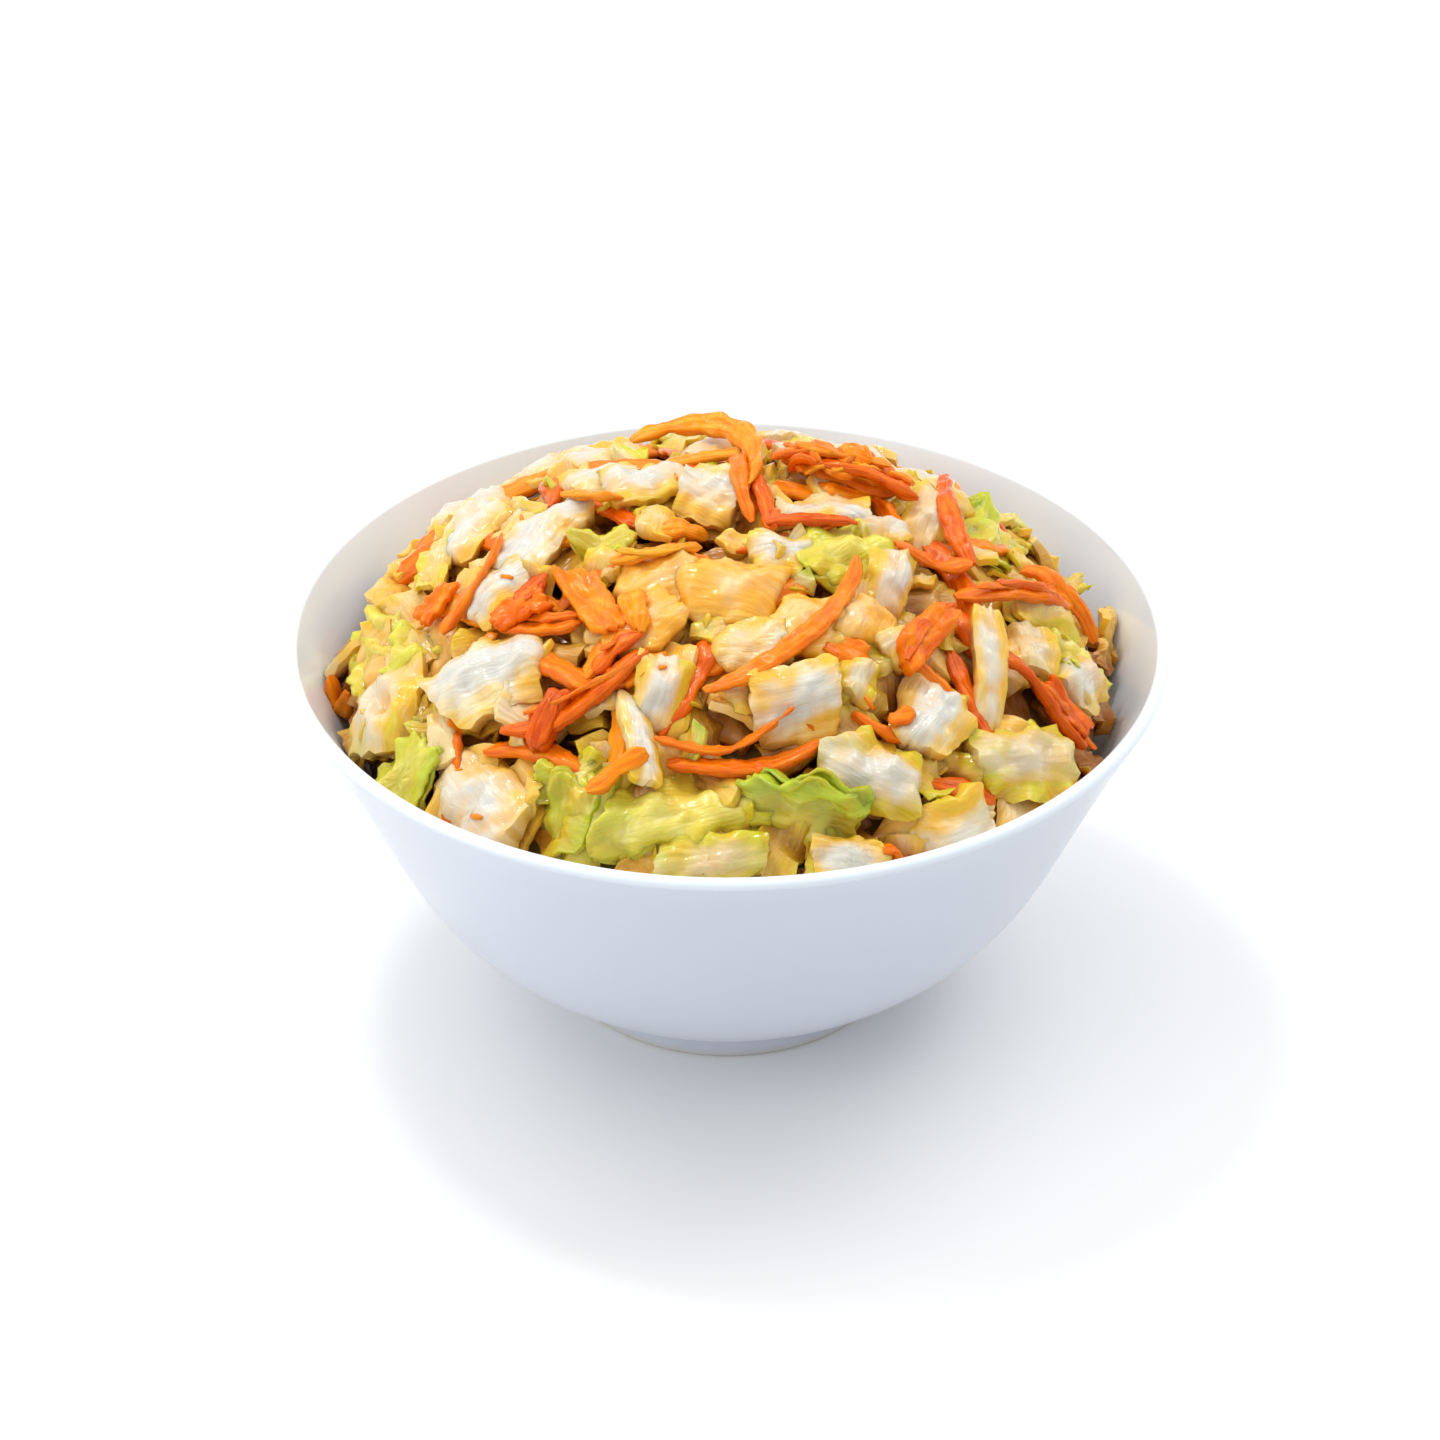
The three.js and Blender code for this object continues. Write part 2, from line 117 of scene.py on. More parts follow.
# The bowl: thin glazed stoneware turned on a wheel, with a low foot ring and a half-round lip. Its
# cross-section is drawn once as a curve and turned about the axis; the glaze is smooth and a little uneven,
# and bare at the foot. The outside glaze is darker and bluer than the inside, part glaze colour and part
# painted shade.
RIM_RADIUS = 70
BOWL_HEIGHT = 64
WALL = 2.2
BASE = 3.2
FOOT_RADIUS = 27.5
FOOT_WIDTH = 3.2
FOOT_HEIGHT = 4
FOOT_HOLLOW = 1.6
FOOT_ROUND = 0.5
FOOT_HEADING = math.radians(33.5)
FOOT_HOLD = 35
RIM_HEADING = math.radians(62)
RIM_HOLD = 41.5
LIP_ARC = 0.5523 * WALL / 2
PROFILE_STEPS = 24
BOWL_SIDES = 160
BOWL_WOBBLE = 0.12
WELD = 0.01
BOWL_SHARP = 50
LIP_FROM, LIP_TO = 0.66, 0.72
WORN_FROM, WORN_TO = 0.4, 1.6
# Outside glaze, darker and bluer than the inside: lavender-grey glaze and painted shade.
OUTSIDE_GLAZE_AND_SHADE = ((0.3, (0.54, 0.59, 0.675)), (0.7, (0.56, 0.605, 0.69)))
GLAZE_INSIDE = (0.82, 0.9, 0.97, 1)
BARE_CLAY = (0.55, 0.54, 0.52, 1)


def along(start, heading, distance):
    """The point at a distance from another, in the plane of radius and height."""
    return (start[0] + distance * math.cos(heading), start[1] + distance * math.sin(heading))


foot_top = (FOOT_RADIUS + 0.5, FOOT_HEIGHT)
lip_start = (
    RIM_RADIUS - WALL / 2 * (1 - math.sin(RIM_HEADING)),
    BOWL_HEIGHT - WALL / 2 * (1 + math.cos(RIM_HEADING)),
)
lip_end = along(lip_start, RIM_HEADING + math.pi / 2, WALL)
lip_middle = along(lip_start, RIM_HEADING + math.pi / 2, WALL / 2)
lip_top = along(lip_middle, RIM_HEADING, WALL / 2)
inside_foot = along(foot_top, FOOT_HEADING + math.pi / 2, BASE)
inner_hold = 1 - WALL / 60
rim_handle = along(lip_end, RIM_HEADING + math.pi, RIM_HOLD * inner_hold)
foot_handle = along(inside_foot, FOOT_HEADING, FOOT_HOLD * inner_hold)
foot_inner = FOOT_RADIUS - FOOT_WIDTH
floor_height = FOOT_HEIGHT + BASE - 0.5

# Each corner of the cross-section with its handle before and after; a corner of its own handle is sharp.
profile = [
    ((0, FOOT_HOLLOW), None, None),
    ((foot_inner - 1, FOOT_HOLLOW), None, None),
    ((foot_inner, FOOT_ROUND), None, (foot_inner + 0.1, 0)),
    ((foot_inner + FOOT_ROUND + 0.2, 0), None, None),
    ((FOOT_RADIUS - FOOT_ROUND - 0.2, 0), None, (FOOT_RADIUS - 0.1, 0)),
    ((FOOT_RADIUS, FOOT_ROUND), None, None),
    ((FOOT_RADIUS, FOOT_HEIGHT - 0.6), None, (FOOT_RADIUS, FOOT_HEIGHT - 0.2)),
    (foot_top, along(foot_top, FOOT_HEADING + math.pi, 0.2), along(foot_top, FOOT_HEADING, FOOT_HOLD)),
    (lip_start, along(lip_start, RIM_HEADING + math.pi, RIM_HOLD), along(lip_start, RIM_HEADING, LIP_ARC)),
    (
        lip_top,
        along(lip_top, RIM_HEADING - math.pi / 2, LIP_ARC),
        along(lip_top, RIM_HEADING + math.pi / 2, LIP_ARC),
    ),
    (lip_end, along(lip_end, RIM_HEADING, LIP_ARC), rim_handle),
    (inside_foot, foot_handle, None),
    ((0, floor_height), (FOOT_RADIUS / 2, floor_height), None),
]
profile_data = bpy.data.curves.new("bowl_profile", "CURVE")
profile_data.dimensions = "3D"
profile_data.resolution_u = PROFILE_STEPS
spline = profile_data.splines.new("BEZIER")
spline.bezier_points.add(len(profile) - 1)
for point, (corner, before, after) in zip(spline.bezier_points, profile):
    point.handle_left_type = point.handle_right_type = "FREE"
    point.co = (corner[0] * MM, 0, corner[1] * MM)
    before, after = before or corner, after or corner
    point.handle_left = (before[0] * MM, 0, before[1] * MM)
    point.handle_right = (after[0] * MM, 0, after[1] * MM)
bowl_profile = bpy.data.objects.new("bowl_profile", profile_data)
scene.collection.objects.link(bowl_profile)


def shape_tree(name, sizes):
    """A Geometry Nodes tree whose inputs are a geometry, the named sizes and a material."""
    tree = bpy.data.node_groups.new(name, "GeometryNodeTree")
    tree.interface.new_socket("Geometry", in_out="INPUT", socket_type="NodeSocketGeometry")
    for label, value in sizes.items():
        kind = "NodeSocketInt" if isinstance(value, int) else "NodeSocketFloat"
        tree.interface.new_socket(label, in_out="INPUT", socket_type=kind).default_value = value
    tree.interface.new_socket("Material", in_out="INPUT", socket_type="NodeSocketMaterial")
    tree.interface.new_socket("Geometry", in_out="OUTPUT", socket_type="NodeSocketGeometry")
    return tree, tree.nodes.new("NodeGroupInput")


def add_node(tree, kind, links=(), **settings):
    """A node of a kind with its settings; its inputs, by name or number, take nodes, sockets and values."""
    made = tree.nodes.new(kind)
    for key, value in settings.items():
        setattr(made, key, value)
    for socket, value in dict(links).items():
        value = value.outputs[0] if isinstance(value, bpy.types.Node) else value
        if isinstance(value, bpy.types.NodeSocket):
            tree.links.new(value, made.inputs[socket])
        else:
            made.inputs[socket].default_value = value
    return made


def maths(tree, operation, *values, **settings):
    """One step of arithmetic on nodes, sockets and numbers."""
    return add_node(tree, "ShaderNodeMath", enumerate(values), operation=operation, **settings)


def stored(tree, geometry, label, value):
    """A geometry with a value kept at each of its points."""
    kept = {"Geometry": geometry, "Name": label, "Value": value}
    return add_node(tree, "GeometryNodeStoreNamedAttribute", kept)


def end_tree(tree, given, geometry):
    """The end of a tree: each copy made real, and the material set."""
    real = add_node(tree, "GeometryNodeRealizeInstances", {"Geometry": geometry})
    paint = given.outputs["Material"]
    coated = add_node(tree, "GeometryNodeSetMaterial", {"Geometry": real, "Material": paint})
    add_node(tree, "NodeGroupOutput", {"Geometry": coated})


def shaped(source, tree, **values):
    """The plain mesh that a tree makes from an object, its inputs set by name; the source is removed."""
    modifier = source.modifiers.new(tree.name, "NODES")
    modifier.node_group = tree
    for item in tree.interface.items_tree:
        if item.in_out == "INPUT" and item.socket_type != "NodeSocketGeometry":
            modifier[item.identifier] = values.get(item.name, item.default_value)
    bpy.context.view_layer.update()
    evaluated = source.evaluated_get(bpy.context.evaluated_depsgraph_get())
    mesh = bpy.data.meshes.new_from_object(evaluated)
    bpy.data.objects.remove(source)
    return mesh


# A sheet with a row for each point of the cross-section, each point moved to its place round the axis
turning, given = shape_tree("turned_profile", {"Sides": BOWL_SIDES, "Wobble": BOWL_WOBBLE * MM})
wire = add_node(turning, "GeometryNodeCurveToMesh", {"Curve": given})
corner_count = add_node(turning, "GeometryNodeAttributeDomainSize", {"Geometry": wire}).outputs["Point Count"]
around = maths(turning, "ADD", given.outputs["Sides"], 1.0)
sheet = add_node(
    turning,
    "GeometryNodeMeshGrid",
    {"Size X": 1.0, "Size Y": 1.0, "Vertices X": corner_count, "Vertices Y": around},
)
index = add_node(turning, "GeometryNodeInputIndex")
row = maths(turning, "FLOOR", maths(turning, "DIVIDE", index, around))
column = maths(turning, "MODULO", index, around)
turn = maths(turning, "MULTIPLY", maths(turning, "DIVIDE", column, given.outputs["Sides"]), 2 * math.pi)
corner = add_node(
    turning,
    "GeometryNodeSampleIndex",
    {"Geometry": wire, "Value": add_node(turning, "GeometryNodeInputPosition"), "Index": row},
    data_type="FLOAT_VECTOR",
)
parts = add_node(turning, "ShaderNodeSeparateXYZ", {0: corner})
wave = maths(turning, "SINE", maths(turning, "MULTIPLY", turn, 3.0))
wave = maths(turning, "MULTIPLY", wave, given.outputs["Wobble"])
wave = maths(turning, "MULTIPLY", wave, maths(turning, "MULTIPLY", parts.outputs["X"], 1000 / RIM_RADIUS))
reach = maths(turning, "ADD", parts.outputs["X"], wave)
x = maths(turning, "MULTIPLY", reach, maths(turning, "COSINE", turn))
y = maths(turning, "MULTIPLY", reach, maths(turning, "SINE", turn))
spot = add_node(turning, "ShaderNodeCombineXYZ", {0: x, 1: y, 2: parts.outputs["Z"]})
marked = stored(turning, sheet, "along", maths(turning, "DIVIDE", row, corner_count))
turned = add_node(turning, "GeometryNodeSetPosition", {"Geometry": marked, "Position": spot})
closed = add_node(turning, "GeometryNodeMergeByDistance", {"Geometry": turned, "Distance": WELD * MM})
end_tree(turning, given, closed)


def object_place(tree):
    """The place on the object that a pattern follows."""
    return add_node(tree, "ShaderNodeTexCoord").outputs["Object"]


def attribute(tree, label):
    """The value of a mesh's attribute."""
    return add_node(tree, "ShaderNodeAttribute", attribute_name=label).outputs["Fac"]


def noise(tree, place, scale, detail):
    """A soft random pattern."""
    made = add_node(tree, "ShaderNodeTexNoise", {"Vector": place, "Scale": scale, "Detail": detail})
    return made.outputs["Fac"]


def ranged(tree, value, start, end, low=0.0, high=1.0, interpolation="LINEAR"):
    """A value brought from one range into another."""
    ends = {"From Min": start, "From Max": end, "To Min": low, "To Max": high}
    return add_node(tree, "ShaderNodeMapRange", {"Value": value, **ends}, interpolation_type=interpolation)


def mixed(tree, factor, first, second):
    """Two colours mixed by a factor."""
    return add_node(tree, "ShaderNodeMix", {0: factor, 6: first, 7: second}, data_type="RGBA").outputs[2]


def ramp(tree, value, *stops):
    """A colour ramp with stops of position and colour."""
    made = add_node(tree, "ShaderNodeValToRGB", {"Fac": value})
    elements = made.color_ramp.elements
    while len(elements) < len(stops):
        elements.new(0.5)
    for element, (position, colour) in zip(elements, stops):
        element.position = position
        element.color = (*colour, 1)
    return made


bowl_glaze, tree, shader = material("bowl_glaze", {"Coat Weight": 0.35, "Coat Roughness": 0.08})
place = object_place(tree)
outside = ramp(tree, noise(tree, place, 18.0, 3.0), *OUTSIDE_GLAZE_AND_SHADE)
# Painted shade in part: the outer wall takes the darker glaze, the lip and inner wall the paler one.
colour = mixed(tree, ranged(tree, attribute(tree, "along"), LIP_FROM, LIP_TO), outside, GLAZE_INSIDE)
height = add_node(tree, "ShaderNodeSeparateXYZ", {0: place}).outputs["Z"]
near_foot = ranged(tree, height, WORN_FROM * MM, WORN_TO * MM, 1.0, 0.0)
tree.links.new(mixed(tree, near_foot, colour, BARE_CLAY), shader.inputs["Base Color"])
rough = add_node(tree, "ShaderNodeMix", {0: near_foot, 2: 0.3, 3: 0.8})
tree.links.new(rough.outputs[0], shader.inputs["Roughness"])


def finished(name, mesh, paint=None, sharp=None):
    """A finished piece, smooth but for edges past an angle, and riding on its body."""
    made = bpy.data.objects.new(name, mesh)
    scene.collection.objects.link(made)
    mesh.shade_smooth()
    if sharp is not None:
        mesh.set_sharp_from_angle(angle=math.radians(sharp))
    if paint is not None:
        mesh.materials.clear()
        mesh.materials.append(paint)
    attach(made, "root")
    return made


bowl_mesh = shaped(bowl_profile, turning, Material=bowl_glaze)
bowl = finished("bowl_turned", bowl_mesh, sharp=BOWL_SHARP)
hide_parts("bowl")


# The imported salad under the pieces that show: chopped cabbage pressed together and wet with dressing, seen
# only in the gaps, where its dark brown colour is painted shade. It is one closed body that fills the bowl up
# to a centimetre under the heap's surface.
HEAP_RADIUS = 65
HEAP_EDGE = 57
HEAP_RISE = 30.5
HEAP_FULLNESS = 2.6
HEAP_BACK_TILT = 0.12
HEAP_BACK_DIP = 3
DIP_FROM, DIP_TO = 12, 36
CORE_SINK = 10
CORE_GAP = 0.4
CORE_LUMP = 1.2
CORE_RINGS, CORE_WALL_RINGS, CORE_SIDES = 70, 24, 180
# Painted shade: the dark browns of the deep gaps between the pieces.
CORE_SHADE_TONES = ((0.0, (0.16, 0.05, 0.012)), (0.5, (0.3, 0.15, 0.03)), (1.0, (0.34, 0.24, 0.05)))
CELL = 1.0
REACH = 76


def heap_height(x, y):
    """The height of the heap's surface over points of the plan: highest behind the middle, then dipping."""
    fall = 1 - np.minimum(np.hypot(x, y) / HEAP_RADIUS, 1.15) ** HEAP_FULLNESS
    back = np.clip((y - DIP_FROM) / (DIP_TO - DIP_FROM), 0, 1)
    dip = HEAP_BACK_DIP * back**2 * (3 - 2 * back)
    return HEAP_EDGE + fall * (HEAP_RISE * (1 + HEAP_BACK_TILT * y / HEAP_RADIUS) - dip)


def heap_normal(x, y):
    """The heap's outward direction over a point of the plan."""
    step = 1.5
    across = heap_height(x - step, y) - heap_height(x + step, y)
    deep = heap_height(x, y - step) - heap_height(x, y + step)
    slope = np.array([across, deep, 2 * step])
    return slope / np.linalg.norm(slope)


# The inside of the wall as radii and heights, which is the curve of the cross-section's inner side
rim_end, rim_hold, foot_hold, foot_end = np.array([lip_end, rim_handle, foot_handle, inside_foot])
step = np.linspace(1, 0, 60)[:, None]
inner_wall = (
    (1 - step) ** 3 * rim_end
    + 3 * (1 - step) ** 2 * step * rim_hold
    + 3 * (1 - step) * step**2 * foot_hold
    + step**3 * foot_end
)


def inside_radius(z):
    """The radius of the bowl's inside at heights."""
    return np.interp(z, inner_wall[:, 1], inner_wall[:, 0])


def waves(draw, count, short, long):
    """A field of small random waves over the plan, about 1 high, with lengths from short to long."""
    headings = draw.uniform(0, 2 * math.pi, count)
    lengths = draw.uniform(short, long, count)
    phases = draw.uniform(0, 2 * math.pi, count)
    strengths = lengths / lengths.sum()

    def field(x, y):
        total = np.zeros_like(x, dtype=float)
        for heading, length, phase, strength in zip(headings, lengths, phases, strengths):
            travelled = x * math.cos(heading) + y * math.sin(heading)
            total += strength * np.sin(travelled * 2 * math.pi / length + phase)
        return total * math.sqrt(count)

    return field


def new_mesh(name, points, faces, marks=(), uv=None):
    """A mesh from points in millimetres, with a float attribute for each mark and a UV map by vertex."""
    mesh = bpy.data.meshes.new(name)
    mesh.from_pydata((np.asarray(points) * MM).tolist(), [], faces)
    for label, values in dict(marks).items():
        mesh.attributes.new(label, "FLOAT", "POINT").data.foreach_set("value", np.asarray(values, np.float32))
    if uv is not None:
        corners = np.empty(len(mesh.loops), np.int32)
        mesh.loops.foreach_get("vertex_index", corners)
        mesh.uv_layers.new(name="piece").data.foreach_set("uv", np.asarray(uv, np.float32)[corners].ravel())
    return mesh


lumps = waves(np.random.default_rng(3), 14, 6, 22)
angles = np.arange(CORE_SIDES) / CORE_SIDES * 2 * math.pi
all_round = np.ones(CORE_SIDES)
shares = np.linspace(0, 1, CORE_RINGS)[1:, None]
edge_height = HEAP_EDGE - CORE_SINK
core_floor = FOOT_HEIGHT + BASE + 0.5
top_radius = (float(inside_radius(edge_height)) - CORE_GAP) * shares * all_round
top_x, top_y = top_radius * np.cos(angles), top_radius * np.sin(angles)
top_z = heap_height(top_x, top_y) - CORE_SINK + CORE_LUMP * lumps(top_x, top_y) * (1 - shares**6)
wall_z = np.linspace(edge_height, core_floor, CORE_WALL_RINGS)[1:, None] * all_round
wall_radius = inside_radius(wall_z) - CORE_GAP
core_points = np.concatenate(
    [
        [[0, 0, heap_height(0, 0) - CORE_SINK]],
        np.stack([top_x, top_y, top_z], -1).reshape(-1, 3),
        np.stack([wall_radius * np.cos(angles), wall_radius * np.sin(angles), wall_z], -1).reshape(-1, 3),
        [[0, 0, core_floor]],
    ]
)


def ring_faces(first, rings, sides, centre, end=None):
    """Faces of rings of points about a centre point, and to an end point if there is one, turned outwards."""
    faces = []
    for i in range(sides):
        j = (i + 1) % sides
        faces.append((centre, first + i, first + j))
        for ring in range(rings - 1):
            a = first + ring * sides
            faces.append((a + i, a + sides + i, a + sides + j, a + j))
        if end is not None:
            last = first + (rings - 1) * sides
            faces.append((last + i, end, last + j))
    return faces


core_faces = ring_faces(1, len(top_x) + len(wall_z), CORE_SIDES, 0, len(core_points) - 1)
core_mesh = new_mesh("slaw_core", core_points, core_faces)

# Thin dressing on a surface: it lies in small pools, and the surface is smoother there
dressing_film = bpy.data.node_groups.new("dressing_film", "ShaderNodeTree")
for label in ("Scale", "Cover", "Dry", "Wet"):
    dressing_film.interface.new_socket(label, in_out="INPUT", socket_type="NodeSocketFloat")
dressing_film.interface.new_socket("Roughness", in_out="OUTPUT", socket_type="NodeSocketFloat")
given = dressing_film.nodes.new("NodeGroupInput")
cover = given.outputs["Cover"]
pools = noise(dressing_film, object_place(dressing_film), given.outputs["Scale"], 2.0)
fringe = maths(dressing_film, "ADD", cover, 0.12)
pool = ranged(dressing_film, pools, fringe, cover, interpolation="SMOOTHSTEP")
rough = add_node(dressing_film, "ShaderNodeMix", {0: pool, 2: given.outputs["Dry"], 3: given.outputs["Wet"]})
add_node(dressing_film, "NodeGroupOutput", {"Roughness": rough})


def dressed(tree, shader, height, strength, depth, **film):
    """A material under dressing: the film sets its roughness, and a height its relief, so many mm deep."""
    wet = add_node(tree, "ShaderNodeGroup", film, node_tree=dressing_film)
    tree.links.new(wet.outputs["Roughness"], shader.inputs["Roughness"])
    relief = {"Strength": strength, "Distance": depth * MM, "Height": height}
    tree.links.new(add_node(tree, "ShaderNodeBump", relief).outputs[0], shader.inputs["Normal"])


# The core's colour is painted shade: dark brown patches for the gaps between the pieces.
core_paint, tree, shader = material("slaw_shadow", {})
patches = add_node(tree, "ShaderNodeTexVoronoi", {"Vector": object_place(tree), "Scale": 160.0})
shade = ramp(tree, patches.outputs["Color"], *CORE_SHADE_TONES)
tree.links.new(shade.outputs["Color"], shader.inputs["Base Color"])
dressed(tree, shader, patches.outputs["Distance"], 0.8, 2, Scale=200.0, Cover=0.45, Dry=0.6, Wet=0.25)
core = finished("slaw_core", core_mesh, core_paint)
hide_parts("slaw")

# How high the salad stands over each cell of the plan as it is filled in
cell_count = int(2 * REACH / CELL)
cell_middle = (np.arange(cell_count) + 0.5) * CELL - REACH
plan_x, plan_y = np.meshgrid(cell_middle, cell_middle, indexing="ij")
standing = heap_height(plan_x, plan_y) - CORE_SINK + CORE_LUMP * lumps(plan_x, plan_y)


def cells(points):
    """The cells of the plan under points."""
    index = ((points[:, :2] + REACH) / CELL).astype(int)
    index = np.clip(index, 0, cell_count - 1)
    return index[:, 0], index[:, 1]


def falling_off(width, reach):
    """The weights of the neighbours on a line that a value is evened out with."""
    weights = np.exp(-0.5 * (np.arange(-reach, reach + 1) / width) ** 2)
    return weights / weights.sum()


def blurred(field, width):
    """A field over the plan, smoothed over a width in cells."""
    reach = int(3 * width)
    padded = np.pad(field, reach, mode="edge")
    for axis in (0, 1):
        padded = np.apply_along_axis(np.convolve, axis, padded, falling_off(width, reach), "valid")
    return padded


# Chopped cabbage, buried: the squares of leaf and rib that lie under the ones on top and show between them.
# Each is cut with a knife across a curved leaf, so it has straight cut sides, a thicker rib and a bowed,
# crinkled blade.
CUT_SKEW = 0.22
CUT_LEAST, CUT_MOST = 1.02, 1.32
CUT_SHARP = 55
TOOTH = 1.3
BEND_REACH = 18
BEND_SPAN = 12
FOLD_ROUND = 0.7
WRINKLE_SHORT, WRINKLE_LONG = 3.0, 9.0
PUCKER_SHORT, PUCKER_LONG = 2.0, 4.0
PUCKER = 0.17
WAVE_COUNT = 12
INNER_SMALLER = 0.05
INNER_FLATTER = 0.3
INNER_SLIP = 1.4
LAYER_GAP = 0.35
WALL_CLEAR = 0.5
RIM_CLEAR = 6
SHOWN_SINK = 2.4
STAND_OUT = 2.2
DRAPE_EASE = 2.5
DRAPE_MOST = 3
OVERLAP = 1.0
PRESS = 1.5
SHADE_FROM, SHADE_OVER = 0.5, 8
BURIED_LAYERS = ((-8.4, 130, 9, 16, (5, 26)), (-6.0, 130, 9, 16, (5, 26)), (-3.8, 90, 5, 10, (4, 20)))
BURIED_RADIUS = 62
GOLDEN_ANGLE = math.pi * (3 - math.sqrt(5))
STAIN = (0.92, 0.44, 0.035, 1)
# Painted shade for cabbage that lies deep in the heap: olive, then dark brown.
OLIVE_SHADE = (0.84, 0.46, 0.045, 1)
HOLLOW_SHADE = (0.4, 0.12, 0.008, 1)
CABBAGE_WHITE = (0.67, 0.65, 0.58, 1)
CABBAGE_TONES = (
    (0.0, (0.78, 0.66, 0.4)),
    (0.22, (0.79, 0.57, 0.2)),
    (0.42, (0.8, 0.48, 0.045)),
    (0.62, (0.68, 0.54, 0.03)),
    (0.84, (0.55, 0.6, 0.03)),
    (1.0, (0.38, 0.48, 0.012)),
)
# The marks of a cabbage mesh; depth, how deep a point lies in the heap, sets its painted shade.
CABBAGE_MARKS = ("green", "rib", "white", "stain", "edge", "depth")


def outline(draw, sectors, corners, torn):
    """How far a cut scrap reaches in each direction: a polygon of knife cuts with small torn teeth."""
    angle = np.arange(sectors) / sectors * 2 * math.pi
    corner = (np.arange(corners) + draw.uniform(-CUT_SKEW, CUT_SKEW, corners)) / corners * 2 * math.pi
    corner = corner + math.pi / corners
    reach = draw.uniform(CUT_LEAST, CUT_MOST, corners)
    corner_x, corner_y = reach * np.cos(corner), reach * np.sin(corner)
    start = (np.searchsorted(corner, angle) - 1) % corners
    end = (start + 1) % corners
    from_x, from_y, to_x, to_y = corner_x[start], corner_y[start], corner_x[end], corner_y[end]
    facing = np.cos(angle) * (to_y - from_y) - np.sin(angle) * (to_x - from_x)
    far = (from_x * to_y - to_x * from_y) / facing
    for _ in range(max(0, sectors // 14 - 1)):
        far = 0.25 * np.roll(far, 1) + 0.5 * far + 0.25 * np.roll(far, -1)
    teeth = draw.uniform(-TOOTH, TOOTH, sectors)
    for beats in (7, 12):
        teeth = teeth + 0.7 * np.sin(beats * angle + draw.uniform(0, 6))
    return angle, far * (1 + torn * teeth)


def bent(distance, heading):
    """How a strip lies when its heading changes along it: how far it shortens and how high it rises."""
    fine = np.linspace(-BEND_REACH, BEND_REACH, 40 * BEND_REACH + 1)
    turn = np.radians(heading(fine))
    gap = fine[1] - fine[0]
    level, rise = np.cumsum(np.cos(turn)) * gap, np.cumsum(np.sin(turn)) * gap
    level -= np.interp(0, fine, level)
    rise -= np.interp(0, fine, rise)
    return np.interp(distance, fine, level) - distance, np.interp(distance, fine, rise)


def surface_normals(grid):
    """Outward directions over rings of points whose first ring is one point."""
    round_ring = np.roll(grid, -1, 1) - np.roll(grid, 1, 1)
    normal = np.cross(np.gradient(grid, axis=0), round_ring)
    normal[0] = normal[1].mean(0)
    return normal / np.maximum(np.linalg.norm(normal, axis=-1, keepdims=True), 1e-9)


pucker = waves(np.random.default_rng(8), WAVE_COUNT, PUCKER_SHORT, PUCKER_LONG)


def scrap(
    draw, length, width, rib=3.0, thin=1.0, curl=-40, roll=-15, folds=(), crinkle=0.4, ripple=0.5, torn=0.025,
    rib_at=0.0, rib_wide=0.3, corners=4, soft=0.25, grid=(8, 40),
):
    """A scrap of cabbage in its own plane, rib along X: its points, faces, marks and UV, in millimetres."""
    rings, sectors = grid
    angle, far = outline(draw, sectors, corners, torn)
    share = np.linspace(0, 1, rings + 1)[:, None] ** 0.85
    x = share * far * np.cos(angle) * length / 2
    y = share * far * np.sin(angle) * width / 2
    sheet = np.stack([x, y, np.zeros_like(x)], -1)
    bends = [(90, lambda d: curl * d / BEND_SPAN), (0, lambda d: roll * d / BEND_SPAN)]
    for direction, at, turn in folds:
        bends.append((direction, lambda d, at=at, turn=turn: turn / (1 + np.exp(-(d - at) / FOLD_ROUND))))
    for direction, heading in bends:
        across = np.array([math.cos(math.radians(direction)), math.sin(math.radians(direction))])
        shortened, risen = bent(x * across[0] + y * across[1], heading)
        sheet += shortened[..., None] * np.array([*across, 0]) + risen[..., None] * np.array([0, 0, 1])

    # The relief and the thickness both follow the smooth sheet's normals, so neither can pinch the other
    wrinkle = waves(draw, WAVE_COUNT, WRINKLE_SHORT, WRINKLE_LONG)(x, y) * crinkle
    wrinkle = wrinkle + pucker(x + 10 * length, y + 10 * width) * PUCKER
    frill = np.sin(4 * angle + draw.uniform(0, 6)) + 0.5 * np.sin(11 * angle + draw.uniform(0, 6))
    frill = ripple * share**3 * frill
    normal = surface_normals(sheet)
    sheet = sheet + normal * (wrinkle + frill)[..., None]
    ribness = np.exp(-(((y / width - rib_at) / rib_wide) ** 2))
    ribness = ribness * np.clip(1.15 - 0.5 * np.abs(x / length), 0, 1)
    thick = (thin + (rib - thin) * ribness) * (1 - soft * share**7)
    out = normal * thick[..., None] / 2

    def flat(values):
        return np.concatenate([values[0, :1], values[1:].reshape(-1, *values.shape[2:])])

    def both(values):
        return np.tile(flat(values * np.ones((rings + 1, sectors))), 2)

    half = 1 + rings * sectors
    last = 1 + (rings - 1) * sectors
    top = ring_faces(1, rings, sectors, 0)
    bottom = [tuple(reversed([half + v for v in face])) for face in top]
    rim = []
    for i in range(sectors):
        j = (i + 1) % sectors
        rim.append((last + i, half + last + i, half + last + j, last + j))
    shift = draw.uniform(0, 50, 2)
    return {
        "points": np.concatenate([flat(sheet + out), flat(sheet - out)]),
        "faces": top + bottom + rim,
        "rib": both(ribness),
        "edge": both(share),
        "uv": np.stack([both(x) / 10 + shift[0], both(y) / 10 + shift[1]], -1),
    }


def gathered(pieces, labels):
    """The faces of many pieces numbered as one, and the values under each label one after another."""
    faces, base = [], 0
    for piece in pieces:
        faces += [tuple(v + base for v in face) for face in piece["faces"]]
        base += len(piece["points"])
    values = {}
    for label in labels:
        spread = [p[label] if np.ndim(p[label]) else np.full(len(p["points"]), p[label]) for p in pieces]
        values[label] = np.concatenate(spread)
    return faces, values


